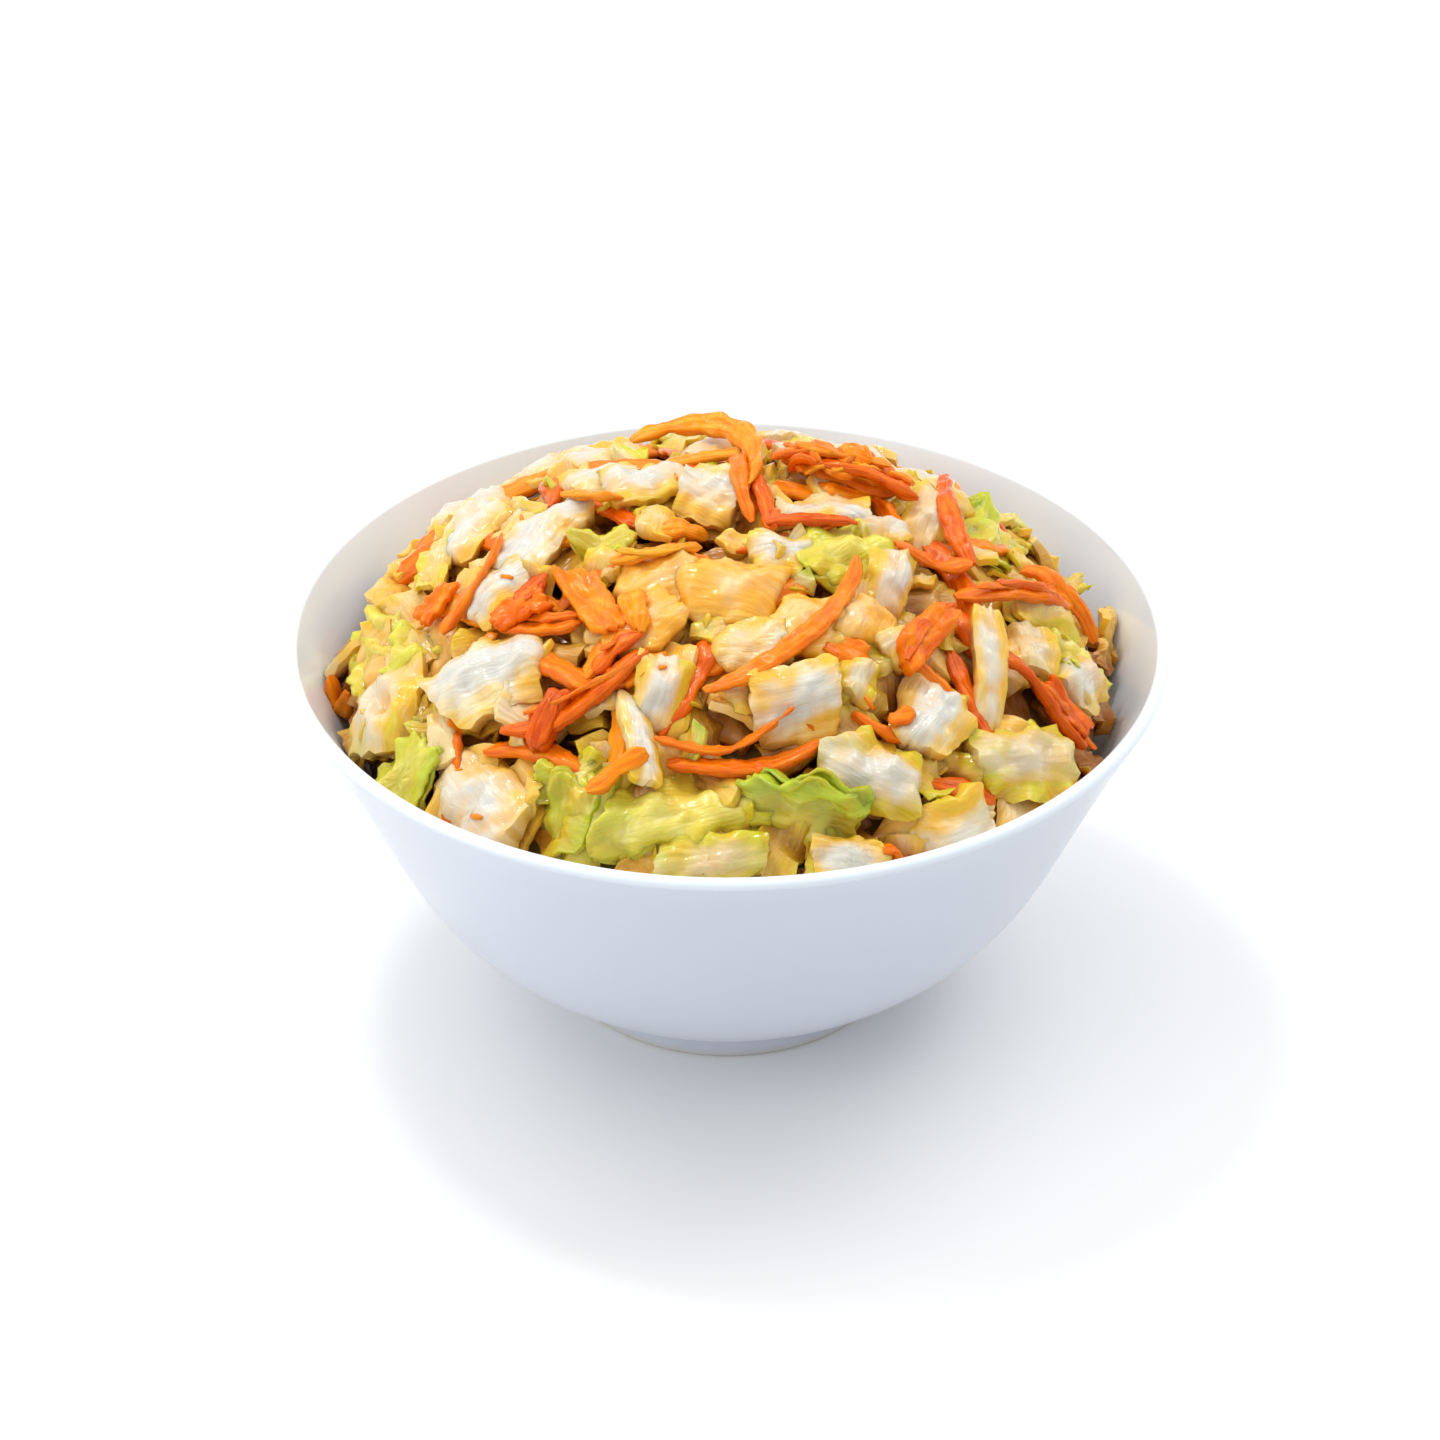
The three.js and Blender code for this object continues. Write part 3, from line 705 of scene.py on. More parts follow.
def stacked(draw, layers, length, width, rib=3.0, thin=1.0, curl=-40, grid=(8, 40), **settings):
    """A chopped piece of leaves that grew one in another, each a scrap a little smaller and more open."""
    seed = int(draw.integers(1_000_000))
    pieces, depth = [], 0.0
    for layer in range(layers):
        size = 1 - INNER_SMALLER * layer
        own_grid = (grid[0] // 2, grid[1]) if layer else grid
        piece = scrap(
            np.random.default_rng(seed), length * size, width * size, rib=thin if layer else rib, thin=thin,
            curl=curl * (1 - INNER_FLATTER * layer), grid=own_grid, **settings,
        )
        side = draw.uniform(-INNER_SLIP, INNER_SLIP, 2) * (layer > 0)
        piece["points"] = piece["points"] + np.array([*side, -depth])
        piece["inner"] = np.full(len(piece["points"]), float(layer))
        pieces.append(piece)
        depth += (rib + thin) / 2 * 0.8 + LAYER_GAP
    faces, values = gathered(pieces, ("points", "rib", "edge", "uv", "inner"))
    return {"faces": faces, **values}


def turned_by(points, turn, tip, lean, normal):
    """Points turned about Z, far end tipped up and left side leaned up, then laid square to a direction."""
    turn, tip, lean = math.radians(turn), math.radians(-tip), math.radians(lean)
    c, s = math.cos(lean), math.sin(lean)
    points = points @ np.array([[1, 0, 0], [0, c, -s], [0, s, c]]).T
    c, s = math.cos(tip), math.sin(tip)
    points = points @ np.array([[c, 0, s], [0, 1, 0], [-s, 0, c]]).T
    c, s = math.cos(turn), math.sin(turn)
    points = points @ np.array([[c, -s, 0], [s, c, 0], [0, 0, 1]]).T
    to_slope = Vector((0, 0, 1)).rotation_difference(Vector(normal)).to_matrix()
    return points @ np.array(to_slope).T


def inside_bowl(points):
    """Points pressed in from the bowl's wall where they would cross it."""
    limit = inside_radius(np.minimum(points[:, 2], BOWL_HEIGHT)) - WALL_CLEAR
    radius = np.hypot(points[:, 0], points[:, 1])
    over = (radius > limit) & (points[:, 2] < BOWL_HEIGHT + RIM_CLEAR)
    points[over, :2] *= (limit / radius)[over, None]
    return points


def lay(piece, x, y, turn, tip, lean, lift, drape=0.4, firm=85):
    """A piece laid on what already stands, near the heap's surface, and counted into it."""
    points = turned_by(piece["points"], turn, tip, lean, heap_normal(x, y))
    points = points + np.array([x, y, heap_height(x, y) + lift])
    here = blurred(standing - heap_height(plan_x, plan_y), DRAPE_EASE)[cells(points)]
    points[:, 2] += drape * np.clip(here - np.median(here), -DRAPE_MOST, DRAPE_MOST)
    contact = np.percentile(standing[cells(points)] - points[:, 2] + OVERLAP, firm)
    points[:, 2] += np.clip(contact, -PRESS, PRESS)
    above = points[:, 2] - heap_height(points[:, 0], points[:, 1])
    points[:, 2] -= max(0.0, above.max() - STAND_OUT - max(lift + SHOWN_SINK, 0))
    points = inside_bowl(points)
    np.maximum.at(standing, cells(points), points[:, 2])
    # How deep each point lies under the heap's surface; it sets the painted shade in the cabbage's colour.
    depth = heap_height(points[:, 0], points[:, 1]) + SHADE_FROM - points[:, 2]
    return {**piece, "points": points, "depth": np.clip(depth / SHADE_OVER, 0, 1)}


def joined(name, pieces, marks):
    """One mesh of many laid pieces, with their marks as attributes."""
    faces, values = gathered(pieces, ("points", "uv", *marks))
    return new_mesh(name, values["points"], faces, {label: values[label] for label in marks}, values["uv"])


def cabbage_material(name, tones, white, depth_shade=1.0):
    """Wet cabbage: its ribs pale, its blade greener and streaked, stained by the dressing, and with painted
    shade in hollows deep in the heap.
    """
    paint, tree, shader = material(
        name,
        {
            "Subsurface Weight": 0.45,
            "Subsurface Radius": (1.0, 0.75, 0.3),
            "Subsurface Scale": 2.2 * MM,
            "Specular IOR Level": 0.4,
            "Coat Weight": 0.1,
            "Coat Roughness": 0.12,
        },
    )
    uv = add_node(tree, "ShaderNodeUVMap", uv_map="piece")
    drawn = add_node(tree, "ShaderNodeMapping", {"Vector": uv, "Scale": (0.35, 2.0, 1)})
    streaks, blotches = noise(tree, drawn, 3.0, 4.0), noise(tree, uv, 1.8, 2.0)
    shift = maths(tree, "MULTIPLY_ADD", streaks, 0.9, -0.45)
    shift = maths(tree, "ADD", maths(tree, "MULTIPLY_ADD", blotches, 1.3, shift), -0.85)
    shift = maths(tree, "MULTIPLY_ADD", attribute(tree, "edge"), 0.36, shift)
    blade = ramp(tree, maths(tree, "ADD", attribute(tree, "green"), shift), *tones)
    rib = maths(tree, "MULTIPLY_ADD", shift, -0.6, attribute(tree, "rib"))
    pale = maths(
        tree, "MULTIPLY", ranged(tree, rib, 0.45, 1.05, interpolation="SMOOTHSTEP"), attribute(tree, "white")
    )
    colour = mixed(tree, pale, blade, white)
    stain = maths(tree, "MULTIPLY_ADD", blotches, 1.8, -1.1)
    stain = maths(tree, "ADD", attribute(tree, "stain"), stain, use_clamp=True)
    colour = mixed(tree, stain, colour, STAIN)
    # Painted shade: olive, then dark brown, the deeper a point lies under the heap's surface.
    depth = maths(tree, "MULTIPLY", attribute(tree, "depth"), depth_shade)
    colour = mixed(tree, ranged(tree, depth, 0.0, 0.4, 0.0, 0.6), colour, OLIVE_SHADE)
    colour = mixed(tree, ranged(tree, depth, 0.3, 0.8, 0.0, 0.92), colour, HOLLOW_SHADE)
    tree.links.new(colour, shader.inputs["Base Color"])
    dressed(tree, shader, noise(tree, drawn, 5.0, 3.0), 0.6, 0.8, Scale=240.0, Cover=0.5, Dry=0.32, Wet=0.08)
    return paint


cabbage_paint = cabbage_material("cabbage_flesh", CABBAGE_TONES, CABBAGE_WHITE)


def cabbage(name, pieces, paint=cabbage_paint, sharp=None):
    """A finished mesh of many laid pieces of cabbage."""
    return finished(name, joined(name, pieces, CABBAGE_MARKS), paint, sharp)


draw = np.random.default_rng(11)
buried = []
for lift, count, least, most, grid in BURIED_LAYERS:
    for i in range(count):
        radius = BURIED_RADIUS * math.sqrt((i + 0.5) / count) + draw.uniform(-2, 2)
        angle = i * GOLDEN_ANGLE + lift
        size = draw.uniform(least, most)
        leafy = draw.uniform() < 0.4
        piece = scrap(
            draw, size, size * draw.uniform(0.65, 0.95),
            rib=1.4 if leafy else min(draw.uniform(2, 4), size / 4),
            thin=0.8 if leafy else 1.4,
            curl=draw.uniform(-70, 30),
            roll=draw.uniform(-30, 20),
            folds=[(draw.uniform(0, 180), draw.uniform(-3, 3), draw.uniform(-50, 50))],
            crinkle=0.6 if leafy else 0.3,
            ripple=1.0 if leafy else 0.4,
            rib_at=draw.uniform(-0.3, 0.3),
            corners=int(draw.integers(4, 6)),
            grid=grid,
        )
        piece["green"] = draw.uniform(0.45, 0.95) if leafy else draw.uniform(0, 0.55)
        piece["white"] = draw.uniform(0, 0.6)
        piece["stain"] = draw.uniform(0.1, 0.7)
        x, y = radius * math.cos(angle), radius * math.sin(angle)
        turn, tip, lean = draw.uniform(0, 360), draw.uniform(-22, 22), draw.uniform(-22, 22)
        buried.append(lay(piece, x, y, turn, tip, lean, lift, firm=75))
cabbage("cabbage_under", buried, sharp=CUT_SHARP)


# Shredded carrot: square-cut strips from a coarse grater, 3 to 4 mm wide, limp enough to follow what they lie
# on, with rough cut faces and ends. Each is a curve laid over the heap; the strip is swept along it.
CARROT_WIDTH = 3.7
CARROT_THICK = 1.7
CARROT_ROUND = 0.4
CARROT_ROUGH = 0.4
CARROT_STEP = 0.7
CARROT_SIDES = 14
CARROT_SUNK = 0.4
PATH_POINTS = 22
PATH_REACH = 12
STIFFNESS = 5.0
TAPER = 0.65
SWELL = 0.16
TWIST = 0.7
BURIED_SHREDS = 70
SHREDS_RADIUS = 60
SHREDS_WITHIN = 46
SHREDS_LIFT = -3.8
CARROT_TONES = (
    (0.0, (0.55, 0.05, 0.001)),
    (0.35, (0.82, 0.14, 0.002)),
    (0.7, (0.91, 0.265, 0.005)),
    (1.0, (0.93, 0.41, 0.02)),
)


def carrot_path(start, end, bend, lift):
    """The path of a shred over what stands, from one spot to another, bending sideways by an angle."""
    share = np.linspace(-1, 1, PATH_POINTS)
    chord = np.linalg.norm(end - start)
    half = math.radians(bend) / 2 or 1e-3
    radius = chord / 2 / math.sin(half)
    ahead = (end - start) / chord
    side = np.array([-ahead[1], ahead[0]])
    plan = (start + end) / 2 + radius * np.sin(half * share)[:, None] * ahead
    plan = plan + (radius * np.cos(half * share) - radius * math.cos(half))[:, None] * side
    points = np.column_stack([plan, np.zeros(PATH_POINTS)])
    near = [standing[cells(points + np.array([dx, dy, 0]))] for dx in (-1, 0, 1) for dy in (-1, 0, 1)]
    under = np.sort(near, axis=0)[6]
    held = np.pad(under, PATH_REACH, mode="edge")
    eased = np.convolve(held, falling_off(STIFFNESS, PATH_REACH), "valid")
    raised = eased + max(0.0, np.percentile(under - eased, 75))
    highest = heap_height(plan[:, 0], plan[:, 1]) + 1.0 + lift
    points[:, 2] = np.minimum(raised, highest) + CARROT_THICK / 2 - CARROT_SUNK
    points = inside_bowl(points)
    for dx in (-1, 0, 1):
        np.maximum.at(standing, cells(points + np.array([dx, 0, 0])), points[:, 2] + CARROT_THICK / 2)
    return points


# The strip's square section, with its corners rounded, swept along the curve and roughened by the grater
shredding, given = shape_tree(
    "shredded",
    {"Width": CARROT_WIDTH * MM, "Thickness": CARROT_THICK * MM, "Rough": CARROT_ROUGH * MM, "Seed": 4.0},
)
section = add_node(
    shredding,
    "GeometryNodeCurvePrimitiveQuadrilateral",
    {"Width": given.outputs["Width"], "Height": given.outputs["Thickness"]},
)
rounding = {"Curve": section, "Radius": CARROT_ROUND * MM, "Count": 1}
section = add_node(shredding, "GeometryNodeFilletCurve", rounding, mode="POLY")
section = add_node(shredding, "GeometryNodeResampleCurve", {"Curve": section, "Count": CARROT_SIDES})
lengthwise = add_node(shredding, "GeometryNodeSplineParameter")
section = stored(shredding, section, "around", lengthwise.outputs["Factor"])
steps = {"Curve": given, "Length": CARROT_STEP * MM}
even = add_node(shredding, "GeometryNodeResampleCurve", steps, mode="LENGTH")
even = stored(shredding, even, "along", lengthwise.outputs["Length"])
radius = add_node(shredding, "GeometryNodeInputRadius")
swept = add_node(
    shredding,
    "GeometryNodeCurveToMesh",
    {"Curve": even, "Profile Curve": section, "Scale": radius, "Fill Caps": True},
)
where = add_node(shredding, "GeometryNodeInputPosition")
grater = add_node(
    shredding,
    "ShaderNodeTexNoise",
    {"Vector": where, "W": given.outputs["Seed"], "Scale": 480.0, "Detail": 2.0},
    noise_dimensions="4D",
)
push = maths(shredding, "ADD", grater.outputs["Fac"], -0.5)
push = maths(shredding, "MULTIPLY", maths(shredding, "MULTIPLY", push, given.outputs["Rough"]), 4.0)
outward = add_node(shredding, "GeometryNodeInputNormal")
offset = add_node(shredding, "ShaderNodeVectorMath", {0: outward, "Scale": push}, operation="SCALE")
rough_cut = add_node(shredding, "GeometryNodeSetPosition", {"Geometry": swept, "Offset": offset})
end_tree(shredding, given, rough_cut)

carrot_paint, tree, shader = material(
    "carrot_wet",
    {
        "Specular Tint": (1.0, 0.72, 0.45, 1),
        "Subsurface Weight": 0.25,
        "Subsurface Radius": (1.0, 0.35, 0.1),
        "Subsurface Scale": 1.4 * MM,
        "Specular IOR Level": 0.4,
        "Coat Weight": 0.04,
        "Coat Roughness": 0.12,
    },
)
length = maths(tree, "MULTIPLY", attribute(tree, "along"), 120.0)
girth = maths(tree, "MULTIPLY", attribute(tree, "around"), 7.0)
strip = maths(tree, "MULTIPLY", attribute(tree, "tone"), 50.0)
fibres = noise(tree, add_node(tree, "ShaderNodeCombineXYZ", {0: length, 1: girth, 2: strip}), 1.6, 4.0)
shift = maths(tree, "MULTIPLY_ADD", fibres, 1.2, attribute(tree, "tone"))
orange = ramp(tree, maths(tree, "ADD", shift, -0.6), *CARROT_TONES)
tree.links.new(orange.outputs["Color"], shader.inputs["Base Color"])
dressed(tree, shader, fibres, 0.6, 0.6, Scale=320.0, Cover=0.5, Dry=0.34, Wet=0.1)


def toned(mesh, tones):
    """Each separate strip of a mesh marked with its tone, in the order of the curves."""
    parent = np.arange(len(mesh.vertices))
    edges = np.empty(2 * len(mesh.edges), np.int32)
    mesh.edges.foreach_get("vertices", edges)
    edges = edges.reshape(-1, 2)
    before = None
    while before is None or (before != parent).any():
        before = parent.copy()
        low = np.minimum(parent[edges[:, 0]], parent[edges[:, 1]])
        np.minimum.at(parent, edges[:, 0], low)
        np.minimum.at(parent, edges[:, 1], low)
        parent = parent[parent]
    _, strip = np.unique(parent, return_inverse=True)
    values = np.asarray(tones, np.float32)[strip]
    mesh.attributes.new("tone", "FLOAT", "POINT").data.foreach_set("value", values)
    return mesh


def carrot_piece(name, paths, seed):
    """A finished mesh of shreds, each a (points, tone, size) with its own twist, swell and taper."""
    data = bpy.data.curves.new(name, "CURVE")
    data.dimensions = "3D"
    draw = np.random.default_rng(seed)
    for points, _, size in paths:
        line = data.splines.new("POLY")
        line.points.add(len(points) - 1)
        twist = draw.uniform(-TWIST, TWIST)
        swell = waves(draw, 3, 8, 20)
        for i, (point, spot) in enumerate(zip(line.points, points)):
            share = 2 * i / (len(points) - 1) - 1
            swollen = 1 + SWELL * float(swell(np.array(i * 1.3), np.array(0.0)))
            point.co = (*(spot * MM), 1)
            point.radius = size * (1 - TAPER * abs(share) ** 5) * swollen
            point.tilt = twist + 0.9 * share * twist
    source = bpy.data.objects.new(name, data)
    scene.collection.objects.link(source)
    bpy.context.view_layer.update()
    mesh = shaped(source, shredding, Seed=float(seed), Material=carrot_paint)
    return finished(name, toned(mesh, [tone for _, tone, _ in paths]), carrot_paint)


draw = np.random.default_rng(31)
buried_paths = []
for i in range(BURIED_SHREDS):
    radius = SHREDS_RADIUS * math.sqrt((i + 0.5) / BURIED_SHREDS)
    angle = i * GOLDEN_ANGLE + 1.1
    middle = np.array([radius * math.cos(angle), radius * math.sin(angle)])
    heading = draw.uniform(0, 2 * math.pi)
    arm = draw.uniform(5, 11) * np.array([math.cos(heading), math.sin(heading)])
    bend, tone, size = draw.uniform(-70, 70), draw.uniform(0.2, 0.8), draw.uniform(0.8, 1.1)
    if abs(middle[0]) < SHREDS_WITHIN and middle[1] > -SHREDS_WITHIN:
        buried_paths.append((carrot_path(middle - arm, middle + arm, bend, SHREDS_LIFT), tone, size))
carrot_piece("carrot_under", buried_paths, 4)


# Cabbage on top: the pieces of rib and leaf that the photograph shows, each where it lies there, thick and
# pale at the rib, thin and greener at the blade, cut square and bowed. Each is laid on the ones before it.
USUAL_STAIN = 0.29
INNER_GREENER = 0.22
INNER_YELLOWER = 0.6
SHOWN_GRID = (12, 52)
RIB_WIDE = 0.38
BACK_GRID = (6, 30)
BACK_FROM = 21
BACK_SINK = 1
BACK_PIECES = 120
BACK_RADIUS = 60
BACK_APART = 11


def chopped(
    x, y, length, width, turn, tip=0, lean=0, lift=0, drape=0.4, layers=2, green=0.0, white=0.0,
    stain=USUAL_STAIN, **looks,
):
    """A piece made and laid in its place; what is left to chance in it is drawn by a seed from the place."""
    draw = np.random.default_rng(round(2110 * (x + 90) + 10 * (y + 90)))
    fold = (draw.uniform(0, 180), draw.uniform(-2, 2), draw.uniform(-45, 20))
    piece = stacked(draw, layers, length, width, **{"folds": [fold], "grid": SHOWN_GRID, **looks})
    piece["green"] = green + INNER_GREENER * piece["inner"]
    piece["white"] = white * (1 - INNER_YELLOWER * np.minimum(piece["inner"], 1))
    piece["stain"] = stain
    return lay(piece, x, y, turn, tip, lean, lift - SHOWN_SINK, drape)


def rib_piece(x, y, length, width, turn, thick, green, white, **more):
    """A chopped piece of rib with some of its blade."""
    return chopped(x, y, length, width, turn, rib=thick, green=green, white=white, rib_wide=RIB_WIDE, **more)


# The back, which the photograph doesn't show, is covered by a rule
draw = np.random.default_rng(23)
back, taken = [], []
for i in range(BACK_PIECES):
    radius = BACK_RADIUS * math.sqrt((i + 0.5) / BACK_PIECES)
    x, y = radius * math.cos(i * GOLDEN_ANGLE), radius * math.sin(i * GOLDEN_ANGLE)
    if y < BACK_FROM or any(math.hypot(x - u, y - v) < BACK_APART for u, v in taken):
        continue
    taken.append((x, y))
    leafy = draw.uniform() < 0.3
    length = draw.uniform(12, 19)
    width, turn = length * draw.uniform(0.6, 0.85), draw.uniform(0, 360)
    lean, tip = draw.uniform(-15, 15), draw.uniform(-8, 8)
    thick = 1.6 if leafy else draw.uniform(3, 5)
    green = draw.uniform(0.4, 0.8) if leafy else draw.uniform(0.05, 0.4)
    white = 0.3 if leafy else draw.uniform(0.6, 1)
    ripple = 0.8 if leafy else 0.4
    laid = {"lean": lean, "tip": tip, "lift": -BACK_SINK, "ripple": ripple, "grid": BACK_GRID}
    back.append(rib_piece(x, y, length, width, turn, thick, green, white, **laid))

# Each piece: x, y, length, width, turn, thickness at the rib, how green, how white, then what is its own
shown = [
    # The back and the top
    rib_piece(-41, 9, 16, 12, 60, 3.5, 0.15, 0.9, lean=15),
    rib_piece(-46, 3, 13, 8, 80, 1.5, 0.55, 0.3, lean=20),
    rib_piece(31, 4, 18, 10, 80, 3.5, 0.4, 0.6, lean=14),
    rib_piece(-20, 11, 13, 10, 10, 3, 0.2, 0.8, stain=0.1),
    rib_piece(-13, 8, 16, 13, 20, 3.5, 0.3, 0.9, lean=6),
    rib_piece(-2, 4, 15, 12, -30, 3.5, 0.25, 0.9, lean=10),
    rib_piece(15, 0, 16, 12, 0, 2.2, 0.1, 0.9, tip=4, curl=-15),
    rib_piece(-29, -2, 21, 14, 52, 5, 0.05, 1, lean=8),
    rib_piece(24, -3, 12, 9, 30, 3, 0.3, 0.9, lean=8),
    rib_piece(25, -15, 16, 10, 85, 5, 0.35, 1, lean=12),
    rib_piece(9, -12, 12, 9, -10, 3, 0.3, 0.9, stain=0.1),
    # The middle
    rib_piece(-36, -14, 13, 11, 20, 4, 0.25, 1, lift=1),
    rib_piece(55, -15, 13, 10, 60, 3.5, 0.15, 0.9),
    rib_piece(50, -5, 14, 12, 20, 2.5, 0.55, 0.4),
    rib_piece(47, -16, 13, 11, 100, 3, 0.4, 0.7),
    rib_piece(26, -27.5, 7, 6, 30, 5.5, 0.25, 0.5, thin=5, curl=0, lift=1),
    # The front, from left to right
    rib_piece(-53, -21, 19, 18, 60, 4, 0.45, 0.7, lean=-12, curl=-55, crinkle=0.65),
    rib_piece(
        -37, -28, 20, 15, 10, 6, 0.1, 1, thin=3, curl=-25, crinkle=0.6, torn=0.035, lift=1.5, stain=0.1,
    ),
    rib_piece(-36.5, -46.5, 21, 17, -55, 5.5, 0.22, 1, thin=1.4, tip=8, curl=-75, lift=1),
    rib_piece(-10, -39, 16, 10, 80, 4, 0.4, 1, lean=25, lift=1),
    rib_piece(19.5, -35, 9, 7, 70, 4, 0.45, 0.6),
    rib_piece(10.5, -39, 16, 14, 15, 7, 0.2, 1, thin=4, tip=6, lean=24, curl=-30, lift=2),
    rib_piece(18, -58, 13, 8, 10, 4, 0.2, 0.9),
    rib_piece(-3, -60, 17, 9, 5, 3, 0.62, 0.45, lean=10, curl=-70),
    rib_piece(30.5, -37, 15, 12, 60, 6, 0.15, 1, thin=2.5, lean=-8, curl=-30, lift=1),
    rib_piece(
        21, -48, 16, 13, -20, 5.5, 0.5, 0.9, thin=1.2, lean=10, curl=-60, lift=1.5, crinkle=0.7,
        ripple=0.9, corners=5,
    ),
    rib_piece(35, -50, 16, 13, 35, 6, 0.25, 0.8, thin=4, lean=14, curl=-20),
    rib_piece(46, -36, 20, 14, 25, 4, 0.55, 0.6, crinkle=0.65, torn=0.035, ripple=0.9, drape=0.2, lift=1.5),
    rib_piece(
        -13, -47, 17, 5.5, 102, 3, 0.25, 0.8, thin=1.2, tip=-10, lean=38, curl=10, lift=2.5,
        crinkle=0.15, ripple=0.2, drape=0.1, layers=1,
    ),
    rib_piece(
        40, -25, 27, 5.6, -78, 3, 0.2, 0.8, thin=2, tip=-2, lean=15, curl=0, roll=12, lift=4.5,
        crinkle=0.12, ripple=0.15, drape=0.1, layers=1,
    ),
]
cabbage_top = cabbage("cabbage_top", back + shown, sharp=CUT_SHARP)


# Stained cabbage in the middle of the heap: thick soft lumps of rib that have soaked up dressing and carrot
# juice until they are smooth and orange-yellow.
LUMP = {
    "thin": 2.6, "curl": -35, "crinkle": 0.35, "ripple": 0.3, "corners": 5, "soft": 0.5, "folds": (),
    "green": 0.2, "white": 0.35,
}

# Each lump: x, y, length, width, turn, thickness, lift, how stained it is
stained = [
    chopped(x, y, length, width, turn, rib=thick, lift=lift, stain=stain, **LUMP)
    for x, y, length, width, turn, thick, lift, stain in (
        (-10, -17, 15, 12, 20, 6, 0, 0.95),
        (1, -20, 17, 14, -10, 7, 0.5, 0.95),
        (-12, -27, 13, 10, 40, 5, 0, 0.95),
        (13, -27, 14, 11, 30, 6, 0, 0.95),
        (20, -24, 11, 10, 70, 6, 0, 0.8),
        (4, -31, 12, 9, 0, 5, 0, 0.5),
    )
]
cabbage("cabbage_stained", stained)


# Green leaf: the thin outer leaves of the cabbage, torn and crinkled, glossy with dressing, and yellow-green
# to bright green. Each is a chopped piece with hardly any rib, in a greener material of its own.
LEAF_WHITE = (0.84, 0.72, 0.3, 1)
LEAF_TONES = (
    (0.0, (0.84, 0.7, 0.2)),
    (0.3, (0.72, 0.62, 0.05)),
    (0.55, (0.6, 0.6, 0.04)),
    (0.8, (0.48, 0.58, 0.03)),
    (1.0, (0.3, 0.42, 0.01)),
)
LEAF = {"rib": 1.5, "thin": 0.8, "crinkle": 0.9, "ripple": 1.0, "torn": 0.035, "white": 0.25, "corners": 5}


def leaf_piece(x, y, length, width, turn, green, **more):
    """A torn piece of leaf, laid in its place."""
    return chopped(x, y, length, width, turn, green=green, **LEAF, **more)


# Leaves take less of the painted shade deep in the heap.
leaf_paint = cabbage_material("cabbage_leaf", LEAF_TONES, LEAF_WHITE, depth_shade=0.45)
leaves = [
    leaf_piece(-54, -6, 17, 13, 70, 0.4, lean=20),
    leaf_piece(-48, -13, 14, 10, 30, 0.45, lean=10),
    leaf_piece(-50, -36, 14, 11, 30, 0.6),
    leaf_piece(-19, -7, 9, 8, 0, 0.7),
    leaf_piece(18, -10, 16, 12, 30, 0.45, lift=0.5),
    leaf_piece(43, 9, 18, 12, 75, 0.7, lean=24, lift=1),
    leaf_piece(55, -10, 12, 10, 0, 0.4),
    leaf_piece(-21, -53, 15, 12, 75, 0.7, lean=25),
    leaf_piece(-24, -47, 11, 8, 20, 0.5, lean=10),
    leaf_piece(-6, -54.5, 26, 18, 12, 0.42, lean=16, curl=-70, lift=1.5, folds=[(70, -2, -40)], drape=0.15),
    leaf_piece(10, -53, 20, 16, -15, 0.8, lean=30, curl=-40, lift=3.5, folds=[(100, 1, 50)], drape=0.15),
]
cabbage("cabbage_leaves", leaves, leaf_paint)


